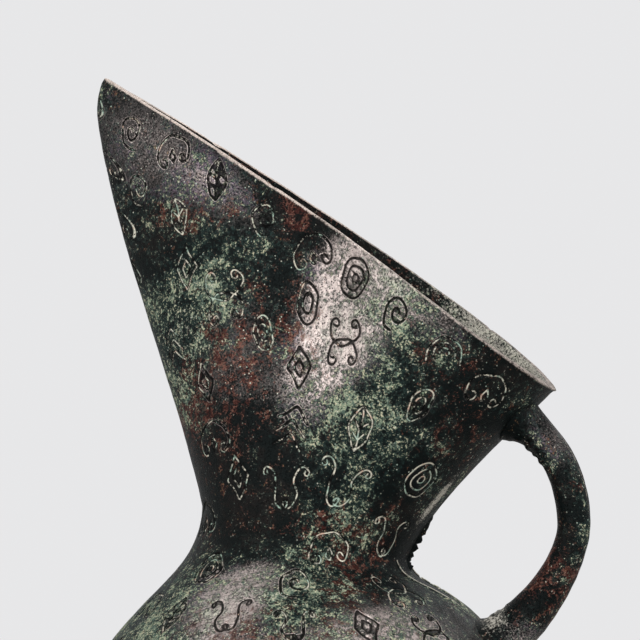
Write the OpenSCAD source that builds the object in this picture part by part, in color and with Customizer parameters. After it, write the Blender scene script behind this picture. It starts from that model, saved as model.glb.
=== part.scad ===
// Bronze pouring vessel: round belly on three legs, narrow waist, tall beaked mouth and a loop handle.
// Millimetres. +Z is up, +X points to the handle, -X to the beak. The origin is on the axis of the
// waist, on the plane that the three feet stand on.

/* [Mouth] */
// How far the end of the beak reaches out from the axis
tip_reach = 64.2; // [57:0.1:78]
// Height of the end of the beak above the waist
tip_rise = 140; // [116:1:168]
// How far the low corner of the rim reaches out from the axis
corner_reach = 75.2; // [63:0.1:90]
// Height of the low corner of the rim above the waist
corner_rise = 42; // [36:0.5:50]
// Width of the mouth across its flanks
mouth_w = 73; // [64:1:90]
// How fully rounded the low end of the rim is
mouth_fullness = 3.5; // [1.6:0.1:5]
// Share by which the flanks are drawn in about halfway along the rim
flank_pinch = 0.29; // [0:0.01:0.4]
// Height of the rim above a straight line from corner to tip, halfway along
rim_crown = 4; // [0:0.5:9]
// How much more of that height lies towards the low corner than towards the tip
crown_skew = 0.25; // [0:0.1:1]
// How far the end of the beak leans back towards the axis
tip_lean = 4; // [0:0.5:6]

/* [Waist] */
// Outer diameter at the narrowest place
waist_d = 62; // [50:1:74]
// Height of the middle of the waist above the top ring of the belly's ball
neck_rise = 27; // [22:1:34]
// How much higher the waist lies on the beak side than on the handle side
waist_skew = 16; // [0:1:18]

/* [Belly] */
// Outer diameter of the belly
belly_d = 144; // [122:1:170]
// Depth of the belly below its widest line
base_depth = 50; // [42:1:60]
// Height of the belly's underside above the ground
stand_h = 64; // [54:0.5:77]

/* [Wall] */
// Thickness of the cast wall
wall = 2.4; // [2:0.1:3]
// Height of the rounding of the lip
lip_round = 0.6; // [0.3:0.1:0.8]

/* [Handle] */
// How far the bar's middle stands out beyond the rim's corner
bar_standoff = 5.5; // [0:0.1:12]
// Thickness of the bar across its loop
bar_t = 9.9; // [8.6:0.1:12.6]
// Width of the bar from side to side
bar_w = 11.6; // [9:0.1:14]
// How much wider the upper root is than the bar
upper_flare = 1.2; // [1.1:0.01:1.4]
// How much wider the lower root is than the bar
lower_flare = 1.53; // [1.3:0.01:1.6]
// Place of the upper root, as a share of the wall's height from waist to corner
upper_root_at = 0.805; // [0.7:0.005:0.82]
// Place of the lower root, as degrees above the belly's widest line
lower_root_at = 36.5; // [32:0.5:39]
// Angle below level at which the bar leaves the mouth's wall
upper_root_dip = 29; // [5:1:35]

/* [Seams] */
// Width of the mould seam left on each side of the handle
seam_w = 1.6; // [1:0.1:2.4]
// Height of the mould seams
seam_h = 0.5; // [0.2:0.05:0.8]
// Angle round the axis between a seam's upper end and the handle's plane
seam_spread = 15.5; // [8:0.5:24]

/* [Legs] */
// Width of a leg where it meets the belly
leg_w = 28; // [24:0.5:33]
// Width of a foot
foot_w = 8; // [6:0.5:10]
// Depth of a leg, as a share of its width
leg_depth = 0.74; // [0.65:0.01:0.9]
// Distance of each foot's middle from the axis
foot_reach = 61; // [54:0.5:72]
// Place of a leg's root, as degrees below the belly's widest line
leg_root_at = 50; // [46:1:56]
// How far a leg bows out of a straight line
leg_bow = 4; // [0:0.5:6]

/* [Rivets] */
// Diameter of a rivet's shank
shank_d = 4; // [3:0.1:4.4]
// Diameter of a rivet's head
head_d = 9.5; // [8:0.5:11]
// Height of a rivet's head
head_h = 2.6; // [2:0.1:3.5]
// How far a shank reaches into the handle or leg
shank_reach = 6.5; // [5:0.5:7]
// Depth of the flat cut for a head in the inner wall
spot_depth = 0.4; // [0.3:0.05:0.6]

/* [Fits] */
// Gap of the seated joint between the body and a cast-on handle or leg
joint_gap = 0.1; // [0.05:0.01:0.2]
// Clearance round and beyond a rivet's shank
shank_gap = 0.1; // [0.05:0.01:0.2]

/* [Colours] */
// Colour of the dark patinated casting
bronze_dark = "#39423c";
// Colour of the handle and legs
bronze_green = "#2f3b38";
// Colour of the rivets
bronze_bare = "#6b5a45";

/* [Hidden] */

columns = 56;
belly_r = belly_d / 2;
waist_r = waist_d / 2;
belly_z = stand_h + base_depth;
shoulder_a = 42;
shoulder_z = belly_z + belly_r * sin(shoulder_a);
waist_z = shoulder_z + neck_rise;
tip_z = waist_z + tip_rise;
corner_z = waist_z + corner_rise;
mouth_l = tip_reach + corner_reach;

// Rows of points on each part of the body, counted upwards.
pole_a = 82;
base_rows = 9;
ball_rows = 6;
neck_rows = 8;
mouth_rows = 15;

// Cubic with end values a and d and control values b and c.
function cubic(a, b, c, d, t) =
    a * pow(1 - t, 3) + 3 * b * t * pow(1 - t, 2) + 3 * c * t * t * (1 - t) + d * pow(t, 3);
function turn(v) = [-v[1], v[0]];
function unit(v) = v / norm(v);
function column_angle(i) = 360 * i / columns;

// Plan of the mouth: s runs from 0 at the beak's tip to 1 at the low corner. The flanks are nearly
// straight towards the beak, drawn in at mid-length, and the low end is round.
tip_blunt = 0.1;
pinch_at = 0.5;
pinch_spread = 0.18;
function teardrop(s) =
    sqrt(s * (s + tip_blunt)) * sqrt(max(0, 1 - pow(s, mouth_fullness)));
teardrop_max = max([for (k = [0:100]) teardrop(k / 100)]);
function flank(s) =
    teardrop(s) / teardrop_max * (1 - flank_pinch * exp(-pow((s - pinch_at) / pinch_spread, 2)));

// The rim: inset shrinks it towards the inside, more at the ends because the wall leans there.
tip_inset = 2.2;
corner_inset = 1.35;
function rim_point(a, inset) =
    let (s = (1 + cos(a)) / 2,
         near_x = -tip_reach + inset * tip_inset,
         far_x = corner_reach - inset * corner_inset,
         x = near_x + (far_x - near_x) * s,
         y = (mouth_w / 2 - inset) * flank(s) * sign(sin(a)),
         k = (x + tip_reach) / mouth_l,
         crown = 4 * rim_crown * k * (1 - k) * (1 + crown_skew * (2 * k - 1)),
         z = tip_z + (corner_z - tip_z) * k + crown)
    [x, y, z];

// Height of the waist round the axis: it lies higher under the beak.
function waist_height(a) = waist_z - waist_skew / 2 * cos(a);

// Shares of the beak, handle and flank profiles at an angle round the axis.
function beak_share(a) = pow(max(0, -cos(a)), 2);
function back_share(a) = pow(max(0, cos(a)), 2);
function blend(a, beak, back, side) =
    beak * beak_share(a) + back * back_share(a) + side * (1 - beak_share(a) - back_share(a));

// Mouth's wall: from the waist at v = 0 to the rim at v = 1. Each profile is a cubic whose two inner
// control values say how soon the wall leaves the waist and how soon it reaches the rim.
beak_pull = [0.32, 0.9];
back_pull = [0.16, 0.62];
side_pull = [0.1, 0.95];
lean_from = 0.9;
function mouth_point(a, v, inset) =
    let (rim = rim_point(a, inset),
         low = waist_height(a),
         r = waist_r - inset,
         early = blend(a, beak_pull[0], back_pull[0], side_pull[0]),
         late = blend(a, beak_pull[1], back_pull[1], side_pull[1]),
         g = cubic(0, early, late, 1, v),
         lean = tip_lean * beak_share(a) * (1 - pow(max(0, v - lean_from) / (1 - lean_from), 2)))
    [r * cos(a) + (rim[0] - r * cos(a) - lean) * g,
     r * sin(a) + (rim[1] - r * sin(a)) * g,
     low + (rim[2] - low) * v];

// Neck: from the top ring of the belly's ball at t = 0 to the waist at t = 1.
shoulder_pull = 0.66;
waist_pull = 0.42;
function neck_point(a, t, inset) =
    let (r0 = (belly_r - inset) * cos(shoulder_a),
         z0 = belly_z + (belly_r - inset) * sin(shoulder_a),
         z3 = waist_height(a),
         pull = shoulder_pull * neck_rise,
         r = cubic(r0, r0 - pull * sin(shoulder_a), waist_r - inset, waist_r - inset, t),
         z = cubic(z0, z0 + pull * cos(shoulder_a), z3 - waist_pull * (z3 - z0), z3, t))
    [r * cos(a), r * sin(a), z];

// Belly: half a ball above its widest line, a shallower bowl below it.
function belly_point(a, lift, inset) =
    let (depth = lift < 0 ? base_depth - inset : belly_r - inset)
    [(belly_r - inset) * cos(lift) * cos(a),
     (belly_r - inset) * cos(lift) * sin(a),
     belly_z + depth * sin(lift)];

// All rings of one skin, from the base up to the rim.
function skin(inset) = concat(
    [for (k = [0:base_rows - 1])
        [for (i = [0:columns - 1]) belly_point(column_angle(i), -pole_a * (1 - k / base_rows), inset)]],
    [for (k = [0:ball_rows - 1])
        [for (i = [0:columns - 1]) belly_point(column_angle(i), shoulder_a * k / ball_rows, inset)]],
    [for (k = [0:neck_rows - 1])
        [for (i = [0:columns - 1]) neck_point(column_angle(i), k / neck_rows, inset)]],
    [for (k = [0:mouth_rows])
        [for (i = [0:columns - 1]) mouth_point(column_angle(i), k / mouth_rows, inset)]]
);

// Closed solid through a list of rings with the same number of points, capped at both ends.
module loft(rings) {
    n = len(rings[0]);
    last = len(rings) - 1;
    points = [for (ring = rings) for (p = ring) p];
    sides = [for (k = [0:last - 1]) for (i = [0:n - 1])
        let (j = (i + 1) % n, a = k * n + i, b = k * n + j)
        each [[a, a + n, b], [b, a + n, b + n]]];
    foot = [[for (i = [0:n - 1]) i]];
    head = [[for (i = [n - 1:-1:0]) last * n + i]];
    polyhedron(points = points, faces = concat(sides, foot, head), convexity = 6);
}

// The body as if it were solid, grown by a margin: it trims what is seated on the body.
module body_block(margin) {
    loft(skin(-margin));
}

// The wall: up the outside, over the rounded lip and down the inside.
lip_from = 0.3;
function lip_ring(drop, inset) =
    [for (i = [0:columns - 1])
        let (p = mouth_point(column_angle(i), 1, inset)) [p[0], p[1], p[2] - drop]];
module shell() {
    outer = skin(0);
    inner = skin(wall);
    rows = len(outer);
    up = [for (k = [0:rows - 2]) outer[k]];
    down = [for (k = [rows - 2:-1:0]) inner[k]];
    lip = [lip_ring(lip_round, 0), lip_ring(0, wall * lip_from),
           lip_ring(0, wall * (1 - lip_from)), lip_ring(lip_round, wall)];
    loft(concat(up, lip, down));
}

// Mould seams: two low ridges that start beside the waist and run together above the lower root. Each
// section is a triangle whose base lies inside the wall, and the ridge fades out at both ends.
seam_rows = 14;
seam_stop = 0.12;
seam_meet = 1.5;
seam_sink = 0.6;
fade_rate = 8;
fade_least = 0.1;
seam_bend = 0.75;
function seam_angle(t) =
    seam_meet + (seam_spread - seam_meet) * pow((t - seam_stop) / (1 - seam_stop), seam_bend);
function seam_ring(t, side) =
    let (a = side * seam_angle(t),
         p = neck_point(a, t, 0),
         half = asin(seam_w / 2 / norm([p[0], p[1]])),
         fade = min(1, fade_least + fade_rate * min(t - seam_stop, 1 - t)))
    [neck_point(a - half, t, seam_sink), neck_point(a, t, -seam_h * fade), neck_point(a + half, t, seam_sink)];
module mould_seam(side) {
    loft([for (k = [0:seam_rows]) seam_ring(seam_stop + (1 - seam_stop) * k / seam_rows, side)]);
}

// Upper root of the handle, in the plane of the loop as [x, z].
slope_step = 0.05;
function wall_xz(v, inset) = let (p = mouth_point(0, v, inset)) [p[0], p[2]];
upper_root = wall_xz(upper_root_at, 0);
upper_along = unit(wall_xz(upper_root_at + slope_step, 0) - wall_xz(upper_root_at - slope_step, 0));
upper_out = -turn(upper_along);
upper_wall = upper_out * (upper_root - wall_xz(upper_root_at, wall));

// Lower root of the handle, on the ball of the belly.
lower_out = [cos(lower_root_at), sin(lower_root_at)];
lower_root = [0, belly_z] + belly_r * lower_out;

// Middle line of the bar: two cubics that meet at the outermost place of the loop. The leads say how
// far each cubic runs on in its end's direction.
bar_x = corner_reach + bar_standoff;
loop_h = upper_root[1] - lower_root[1];
apex_z = lower_root[1] + 0.54 * loop_h;
upper_lead = 0.23 * loop_h;
apex_lead = 0.12 * loop_h;
lower_lead = 0.305 * loop_h;
function bar_curve(t) =
    let (a = upper_root,
         b = upper_root + upper_lead * [cos(upper_root_dip), -sin(upper_root_dip)],
         apex = [bar_x, apex_z],
         up = [0, apex_lead],
         c = lower_root + lower_lead * lower_out)
    t < 1 ? cubic(a, b, apex + up, apex, t) : cubic(apex, apex - up, c, lower_root, t - 1);

// Swell of the bar: a short flare at the upper root and a long one at the lower, both drawn on past the
// body's surface before the body is cut out of them.
upper_flare_len = 0.27;
lower_flare_len = 0.9;
function flare_end(e, flare) = e >= 1 ? 1 : 1 + (flare - 1) * pow(1 - e, 2);
function swell(t) =
    t < 1 ? flare_end(t / upper_flare_len, upper_flare) : flare_end((2 - t) / lower_flare_len, lower_flare);

bar_sides = 16;
bar_steps = 30;
root_sink = 8;
curve_step = 0.01;
function bar_ring(t, shift) =
    let (p = bar_curve(t),
         d = unit(bar_curve(min(2, t + curve_step)) - bar_curve(max(0, t - curve_step))),
         c = p + d * shift,
         across = turn(d))
    [for (i = [0:bar_sides - 1])
        let (q = 360 * i / bar_sides,
             u = swell(t) * bar_t / 2 * cos(q),
             w = swell(t) * bar_w / 2 * sin(q))
        [c[0] + across[0] * u, w, c[1] + across[1] * u]];
module bar() {
    middle = [for (k = [0:bar_steps]) bar_ring(2 * k / bar_steps, 0)];
    loft(concat([bar_ring(0, -root_sink)], middle, [bar_ring(2, root_sink)]));
}

// Places something along +Z from a root on the body, outwards along its surface normal.
module at_root(around, root, out) {
    rotate([0, 0, around])
        translate([root[0], 0, root[1]])
            rotate([0, atan2(out[0], out[1]), 0])
                children();
}
module at_upper_root() {
    at_root(0, upper_root, upper_out) children();
}
module at_lower_root() {
    at_root(0, lower_root, lower_out) children();
}

// A leg's root on the bowl under the belly, and the normal there.
leg_root = [belly_r * cos(leg_root_at), belly_z - base_depth * sin(leg_root_at)];
leg_out = unit([cos(leg_root_at) / belly_r, -sin(leg_root_at) / base_depth]);
leg_angles = [0, 120, 240];
module at_leg_root(around) {
    at_root(around, leg_root, leg_out) children();
}

// One rivet: a domed head inside the wall and a shank through it. +Z points out of the body, with
// z = 0 on the outer surface.
dome_r = (pow(head_d / 2, 2) + pow(head_h, 2)) / (2 * head_h);
module rivet(wall_t) {
    seat = -(wall_t - spot_depth);
    translate([0, 0, seat - head_h / 2])
        cylinder(d = shank_d, h = shank_reach - seat + head_h / 2, $fn = 32);
    translate([0, 0, seat])
        intersection() {
            translate([0, 0, dome_r - head_h])
                sphere(r = dome_r, $fn = 48);
            translate([0, 0, -2 * head_h])
                cylinder(d = 2 * head_d, h = 2 * head_h, $fn = 48);
        }
}

// What a rivet needs: the shank's hole, and the flat for its head in the inner wall.
spot_gap = 0.4;
module rivet_hole(wall_t) {
    translate([0, 0, -2 * wall_t])
        cylinder(d = shank_d + 2 * shank_gap, h = 2 * wall_t + shank_reach + shank_gap, $fn = 32);
}
module rivet_spot(wall_t) {
    translate([0, 0, -wall_t - head_h])
        cylinder(d = head_d + 2 * spot_gap, h = head_h + spot_depth, $fn = 48);
}

// Middle line of a leg in its own plane, from above its root down to the foot.
leg_bury = 9;
leg_top_z = leg_root[1] + leg_bury;
leg_steps = 12;
leg_sides = 18;
function leg_middle(t) =
    [leg_root[0] + (foot_reach - leg_root[0]) * t - leg_bow * sin(180 * t), leg_top_z * (1 - t)];
// The section is a soft triangle with its ridge outwards, and it shrinks fastest under the root.
leg_taper = 1.35;
ridge_height = 0.12;
function leg_width(t) = foot_w + (leg_w - foot_w) * pow(1 - t, leg_taper);
function leg_ring(t) =
    let (c = leg_middle(t), w = leg_width(t) / 2)
    [for (i = [0:leg_sides - 1])
        let (q = -360 * i / leg_sides, r = w * (1 - ridge_height / 2 + ridge_height * cos(3 * q)))
        [c[0] + leg_depth * r * cos(q), r * sin(q), c[1]]];
module leg(around) {
    difference() {
        rotate([0, 0, around])
            loft([for (k = [leg_steps:-1:0]) leg_ring(k / leg_steps)]);
        body_block(joint_gap);
        at_leg_root(around)
            rivet_hole(wall);
    }
}

module vessel_body() {
    color(bronze_dark)
        difference() {
            union() {
                shell();
                for (side = [-1, 1])
                    mould_seam(side);
            }
            at_upper_root() {
                rivet_hole(upper_wall);
                rivet_spot(upper_wall);
            }
            at_lower_root() {
                rivet_hole(wall);
                rivet_spot(wall);
            }
            for (around = leg_angles)
                at_leg_root(around) {
                    rivet_hole(wall);
                    rivet_spot(wall);
                }
        }
}

module loop_handle() {
    color(bronze_green)
        difference() {
            bar();
            body_block(joint_gap);
            at_upper_root()
                rivet_hole(upper_wall);
            at_lower_root()
                rivet_hole(wall);
        }
}

module upper_handle_rivet() {
    color(bronze_bare)
        at_upper_root()
            rivet(upper_wall);
}

module lower_handle_rivet() {
    color(bronze_bare)
        at_lower_root()
            rivet(wall);
}

module handle_side_leg() {
    color(bronze_green)
        leg(leg_angles[0]);
}

module far_beak_leg() {
    color(bronze_green)
        leg(leg_angles[1]);
}

module near_beak_leg() {
    color(bronze_green)
        leg(leg_angles[2]);
}

module leg_rivets() {
    color(bronze_bare)
        for (around = leg_angles)
            at_leg_root(around)
                rivet(wall);
}

vessel_body();
loop_handle();
upper_handle_rivet();
lower_handle_rivet();
handle_side_leg();
near_beak_leg();
far_beak_leg();
leg_rivets();
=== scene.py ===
"""Visible model of a cast bronze pouring vessel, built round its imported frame.

The casting is one closed skin with its ornament really cut into it, a loop handle and three legs whose
roots follow the wall, and patina worked out from noise and from named places on the bronze. Sizes are in
millimetres in the classes and in metres in the meshes. +Z is up, +X points to the handle and -X to the
beak; the feet stand on z = 0.
"""

import logging
import math
from dataclasses import dataclass, field
from enum import Enum
from typing import Any, Callable

import bmesh
import bpy
import numpy as np
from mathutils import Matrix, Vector
from mathutils.geometry import delaunay_2d_cdt

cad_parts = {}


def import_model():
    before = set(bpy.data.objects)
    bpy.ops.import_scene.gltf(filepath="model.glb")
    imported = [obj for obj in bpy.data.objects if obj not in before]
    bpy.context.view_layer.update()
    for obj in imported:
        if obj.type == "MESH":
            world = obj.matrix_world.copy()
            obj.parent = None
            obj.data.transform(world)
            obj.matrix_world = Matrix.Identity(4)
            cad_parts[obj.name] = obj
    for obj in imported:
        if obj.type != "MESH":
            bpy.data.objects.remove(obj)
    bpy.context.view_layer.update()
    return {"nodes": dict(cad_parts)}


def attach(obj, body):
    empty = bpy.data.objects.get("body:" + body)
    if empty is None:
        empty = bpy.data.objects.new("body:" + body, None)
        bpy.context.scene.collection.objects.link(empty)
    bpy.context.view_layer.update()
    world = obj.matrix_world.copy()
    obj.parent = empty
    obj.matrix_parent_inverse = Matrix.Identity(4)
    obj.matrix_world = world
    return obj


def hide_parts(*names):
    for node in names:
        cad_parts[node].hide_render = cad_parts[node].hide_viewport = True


Array = np.ndarray
Colour = tuple[float, float, float]

MM = 0.001
TURN = 2 * math.pi
ROOT = "root"

# Climbs up the vessel's profile, from 0 at the middle of the bowl.
WIDEST, SHOULDER, WAIST, RIM = 1.0, 2.0, 3.0, 4.0

# Kinds of patina that are painted by weights, and the distance that stands for no stroke or seam near.
# Sheen is partly painted highlight, and gloom is painted shade.
KINDS = ("sheen", "crust", "stain", "pale", "gloom")
FAR = 3.0

log = logging.getLogger("vessel")


def cubic(a: Any, b: Any, c: Any, d: Any, t: Any) -> Any:
    """Cubic with end values a and d and control values b and c.

    Args:
        a: Value at t = 0.
        b: Control value next to a.
        c: Control value next to d.
        d: Value at t = 1.
        t: Place along the cubic.

    Returns:
        a(1-t)^3 + 3bt(1-t)^2 + 3ct^2(1-t) + dt^3.
    """
    u = 1 - t
    return a * u**3 + 3 * b * t * u**2 + 3 * c * t**2 * u + d * t**3


def smooth_step(low: float, high: float, x: Array) -> Array:
    """Rises from 0 at low to 1 at high as 3s^2 - 2s^3, where s is the share of the way.

    Args:
        low: Where the rise starts.
        high: Where it ends.
        x: Values to weigh.

    Returns:
        Weights from 0 to 1.
    """
    s = np.clip((x - low) / (high - low), 0, 1)
    return s * s * (3 - 2 * s)


def bell(x: Array, middle: float, width: float) -> Array:
    """Falls from 1 at the middle as exp(-(distance / width)^2)."""
    return np.exp(-(((x - middle) / width) ** 2))


def unit_rows(v: Array) -> Array:
    """Each row divided by its own length."""
    return v / np.linalg.norm(v, axis=-1, keepdims=True)


def run_along(line: Array) -> Array:
    """Length run along a line up to each of its points."""
    return np.concatenate([[0], np.linalg.norm(np.diff(line, axis=0), axis=1).cumsum()])


def circle(turn: Array) -> Array:
    """Points of the unit circle at some angles."""
    return np.stack([np.cos(turn), np.sin(turn)], -1)


@dataclass(frozen=True)
class VesselForm:
    """Sizes of the casting in millimetres, and the smooth surface that they give.

    A place on a skin has an angle round the axis, 0 towards the handle and pi towards the beak, and a
    climb: 0 to 1 is the bowl under the belly's widest line, 1 to 2 the ball above it, 2 to 3 the neck up
    to the waist, and 3 to 4 the mouth's wall up to the rim. Inset moves the skin inwards.
    """

    tip_reach: float = 64.2
    tip_rise: float = 140.0
    corner_reach: float = 75.2
    corner_rise: float = 42.0
    mouth_w: float = 73.0
    mouth_fullness: float = 3.5
    flank_pinch: float = 0.29
    pinch_at: float = 0.5
    pinch_spread: float = 0.18
    tip_blunt: float = 0.1
    rim_crown: float = 4.0
    crown_skew: float = 0.25
    tip_lean: float = 4.0
    lean_from: float = 0.9
    tip_inset: float = 2.2
    corner_inset: float = 1.35
    beak_pull: tuple[float, float] = (0.32, 0.9)
    back_pull: tuple[float, float] = (0.16, 0.62)
    side_pull: tuple[float, float] = (0.1, 0.95)
    waist_d: float = 62.0
    neck_rise: float = 27.0
    waist_skew: float = 16.0
    shoulder_pull: float = 0.66
    waist_pull: float = 0.42
    shoulder_deg: float = 42.0
    belly_d: float = 144.0
    base_depth: float = 50.0
    stand_h: float = 64.0
    wall: float = 2.4
    lip_round: float = 0.6

    @property
    def belly_r(self) -> float:
        """Outer radius of the belly."""
        return self.belly_d / 2

    @property
    def belly_z(self) -> float:
        """Height of the belly's widest line."""
        return self.stand_h + self.base_depth

    @property
    def waist_z(self) -> float:
        """Height of the middle of the waist."""
        shoulder = self.belly_r * math.sin(math.radians(self.shoulder_deg))
        return self.belly_z + shoulder + self.neck_rise

    @property
    def mouth_l(self) -> float:
        """Length of the mouth in plan."""
        return self.tip_reach + self.corner_reach

    def teardrop(self, s: Array) -> Array:
        """Half width of the mouth's plan at s, 0 at the tip and 1 at the low corner.

        It is sqrt(s(s + blunt)) sqrt(1 - s^fullness): straight flanks and a round low end.
        """
        return np.sqrt(s * (s + self.tip_blunt)) * np.sqrt(np.maximum(0, 1 - s**self.mouth_fullness))

    def flank(self, s: Array) -> Array:
        """The teardrop scaled to 1 at its widest and drawn in round the pinch by a bell curve."""
        widest = self.teardrop(np.linspace(0, 1, 101)).max()
        pinch = self.flank_pinch * bell(s, self.pinch_at, self.pinch_spread)
        return self.teardrop(s) / widest * (1 - pinch)

    def rim(self, angle: Array, inset: Array) -> tuple[Array, Array, Array]:
        """The rim: x runs between its ends as a cosine, y is the flank, z a crowned slope.

        Args:
            angle: Angles round the axis.
            inset: Distance inwards from the outer edge.

        Returns:
            The coordinates x, y and z.
        """
        s = (1 + np.cos(angle)) / 2
        near = -self.tip_reach + inset * self.tip_inset
        far = self.corner_reach - inset * self.corner_inset
        x = near + (far - near) * s
        y = (self.mouth_w / 2 - inset) * self.flank(s) * np.sign(np.sin(angle))
        return x, y, self.rim_height(x)

    def rim_height(self, x: Array) -> Array:
        """Height of the rim over a place along the mouth: a slope with a skewed parabola on it."""
        k = (x + self.tip_reach) / self.mouth_l
        crown = 4 * self.rim_crown * k * (1 - k) * (1 + self.crown_skew * (2 * k - 1))
        tip_z, corner_z = self.waist_z + self.tip_rise, self.waist_z + self.corner_rise
        return tip_z + (corner_z - tip_z) * k + crown

    def waist_height(self, angle: Array) -> Array:
        """Height of the waist: a tilted ring, higher under the beak."""
        return self.waist_z - self.waist_skew / 2 * np.cos(angle)

    def blend(self, angle: Array, part: int) -> Array:
        """Mix of the beak's, back's and flank's pulls, by the squared cosine of the angle."""
        beak = np.maximum(0, -np.cos(angle)) ** 2
        back = np.maximum(0, np.cos(angle)) ** 2
        side = 1 - beak - back
        return self.beak_pull[part] * beak + self.back_pull[part] * back + self.side_pull[part] * side

    def mouth(self, angle: Array, v: Array, inset: Array) -> Array:
        """The mouth's wall, from the waist at v = 0 to the rim at v = 1.

        Height runs evenly. The plan moves from the waist's circle to the rim by a cubic of v whose
        control values depend on the angle, and the beak's end leans back near the rim.
        """
        rim_x, rim_y, rim_z = self.rim(angle, inset)
        low = self.waist_height(angle)
        r = self.waist_d / 2 - inset
        g = cubic(0, self.blend(angle, 0), self.blend(angle, 1), 1, v)
        past = np.maximum(0, v - self.lean_from) / (1 - self.lean_from)
        lean = self.tip_lean * np.maximum(0, -np.cos(angle)) ** 2 * (1 - past**2)
        x = r * np.cos(angle) + (rim_x - r * np.cos(angle) - lean) * g
        y = r * np.sin(angle) + (rim_y - r * np.sin(angle)) * g
        return np.stack([x, y, low + (rim_z - low) * v], -1)

    def neck(self, angle: Array, t: Array, inset: Array) -> Array:
        """The neck: radius and height are cubics from the ball's top ring to the upright waist."""
        steep = math.radians(self.shoulder_deg)
        r0 = (self.belly_r - inset) * math.cos(steep)
        z0 = self.belly_z + (self.belly_r - inset) * math.sin(steep)
        z3 = self.waist_height(angle)
        pull = self.shoulder_pull * self.neck_rise
        r3 = self.waist_d / 2 - inset
        r = cubic(r0, r0 - pull * math.sin(steep), r3, r3, t)
        z = cubic(z0, z0 + pull * math.cos(steep), z3 - self.waist_pull * (z3 - z0), z3, t)
        return np.stack([r * np.cos(angle), r * np.sin(angle), z], -1)

    def belly(self, angle: Array, lift: Array, inset: Array) -> Array:
        """Half a ball above the widest line and a shallower bowl below, by the angle of lift."""
        r = (self.belly_r - inset) * np.cos(lift)
        depth = np.where(lift < 0, self.base_depth - inset, self.belly_r - inset)
        return np.stack([r * np.cos(angle), r * np.sin(angle), self.belly_z + depth * np.sin(lift)], -1)

    def skin(self, angle: Array, climb: Array, inset: Any = 0.0) -> Array:
        """Point of a skin at an angle and a climb, from the part that the climb falls in.

        Args:
            angle: Angles round the axis.
            climb: Places up the profile, 0 to 4.
            inset: Distance inwards from the outer skin.

        Returns:
            Points with the coordinates last.
        """
        angle, climb, inset = np.broadcast_arrays(*(np.asarray(v, float) for v in (angle, climb, inset)))
        top = math.radians(self.shoulder_deg)
        past = climb - WIDEST
        lift = np.where(past < 0, past * math.pi / 2, past * top)
        low = self.belly(angle, np.clip(lift, -math.pi / 2, top), inset)
        middle = self.neck(angle, np.clip(climb - SHOULDER, 0, 1), inset)
        high = self.mouth(angle, np.clip(climb - WAIST, 0, 1), inset)
        points = np.where((climb <= SHOULDER)[..., None], low, middle)
        return np.where((climb > WAIST)[..., None], high, points)

    def slopes(self, angle: Array, climb: Array, inset: Any = 0.0) -> tuple[Array, Array]:
        """How the skin moves with the angle and with the climb, by central differences."""
        step = 1e-4
        low, high = np.clip(climb - step, 0.001, RIM), np.clip(climb + step, 0.001, RIM)
        round_ = self.skin(angle + step, climb, inset) - self.skin(angle - step, climb, inset)
        upward = self.skin(angle, high, inset) - self.skin(angle, low, inset)
        return round_ / (2 * step), upward / (high - low)[..., None]

    def normals(self, angle: Array, climb: Array, inset: Any = 0.0) -> Array:
        """Outward normals: the cross product of the slopes round and up the skin."""
        round_, upward = self.slopes(angle, climb, inset)
        return unit_rows(np.cross(round_, upward))

    def clearance(self, points: Array) -> Array:
        """Distance outwards from the outer skin, on the ball along its radius and above it level.

        Above the ball the wall's angle at a point's height is found by moving the angle by the error
        in its direction, a few times over.

        Args:
            points: Points with the coordinates last.

        Returns:
            Distances, negative inside.
        """
        centre = np.array([0, 0, self.belly_z])
        ball = np.linalg.norm(points - centre, axis=-1) - self.belly_r
        facing = np.arctan2(points[..., 1], points[..., 0])
        angle = facing
        for _ in range(8):
            low = self.waist_height(angle)
            _, _, rim_z = self.rim(angle, np.zeros_like(angle))
            v = np.clip((points[..., 2] - low) / (rim_z - low), 0, 1)
            wall = self.mouth(angle, v, np.zeros_like(angle))
            angle = angle + facing - np.arctan2(wall[..., 1], wall[..., 0])
        mouth = np.hypot(points[..., 0], points[..., 1]) - np.hypot(wall[..., 0], wall[..., 1])
        return np.where(points[..., 2] > self.waist_height(facing), mouth, ball)

    def bowl_height(self, x: Array, y: Array) -> Array:
        """Height of the bowl's underside over a plan point, from its ellipse."""
        share = np.clip((x**2 + y**2) / self.belly_r**2, 0, 1)
        return self.belly_z - self.base_depth * np.sqrt(1 - share)


class Motif(Enum):
    """Traditional figures of the ornament."""

    ROUND_SPIRAL = "round spiral"
    HORNS = "arch with curled ends over a lozenge"
    BUTTERFLY = "two arches with curled ends, back to back"
    RING = "two rings and a dot"
    LOZENGE = "lozenge in a lozenge"
    SCALES = "nested arcs"
    CHEVRONS = "nested chevrons"
    LYRE = "two scrolls face to face"
    ROSETTE = "flower of five petals on a stem"
    LEAF = "leaf with its veins"
    OVALS = "oval in an oval"


def spin(angle: float) -> Array:
    """Turns rows of plane points by an angle when they are multiplied by it from the right."""
    c, s = np.cos(angle), np.sin(angle)
    return np.array([[c, s], [-s, c]])


def scroll(opposed: bool) -> Array:
    """A level line with a tight curl at both ends: its heading is the sum of its curvature.

    The curvature grows with the cube of the distance from the middle.

    Args:
        opposed: Whether the ends curl opposite ways.

    Returns:
        Points in a box 1 wide, centred.
    """
    s = np.linspace(-1, 1, 160)
    bend = 20 * (0.12 + np.abs(s) ** 3) * (np.sign(s) if opposed else 1)
    heading = np.cumsum(bend) * (s[1] - s[0])
    heading -= heading[len(s) // 2] + (0.35 if opposed else 0)
    line = np.cumsum(circle(heading), axis=0)
    line -= (line.max(0) + line.min(0)) / 2
    return line / np.ptp(line[:, 0])


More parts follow.
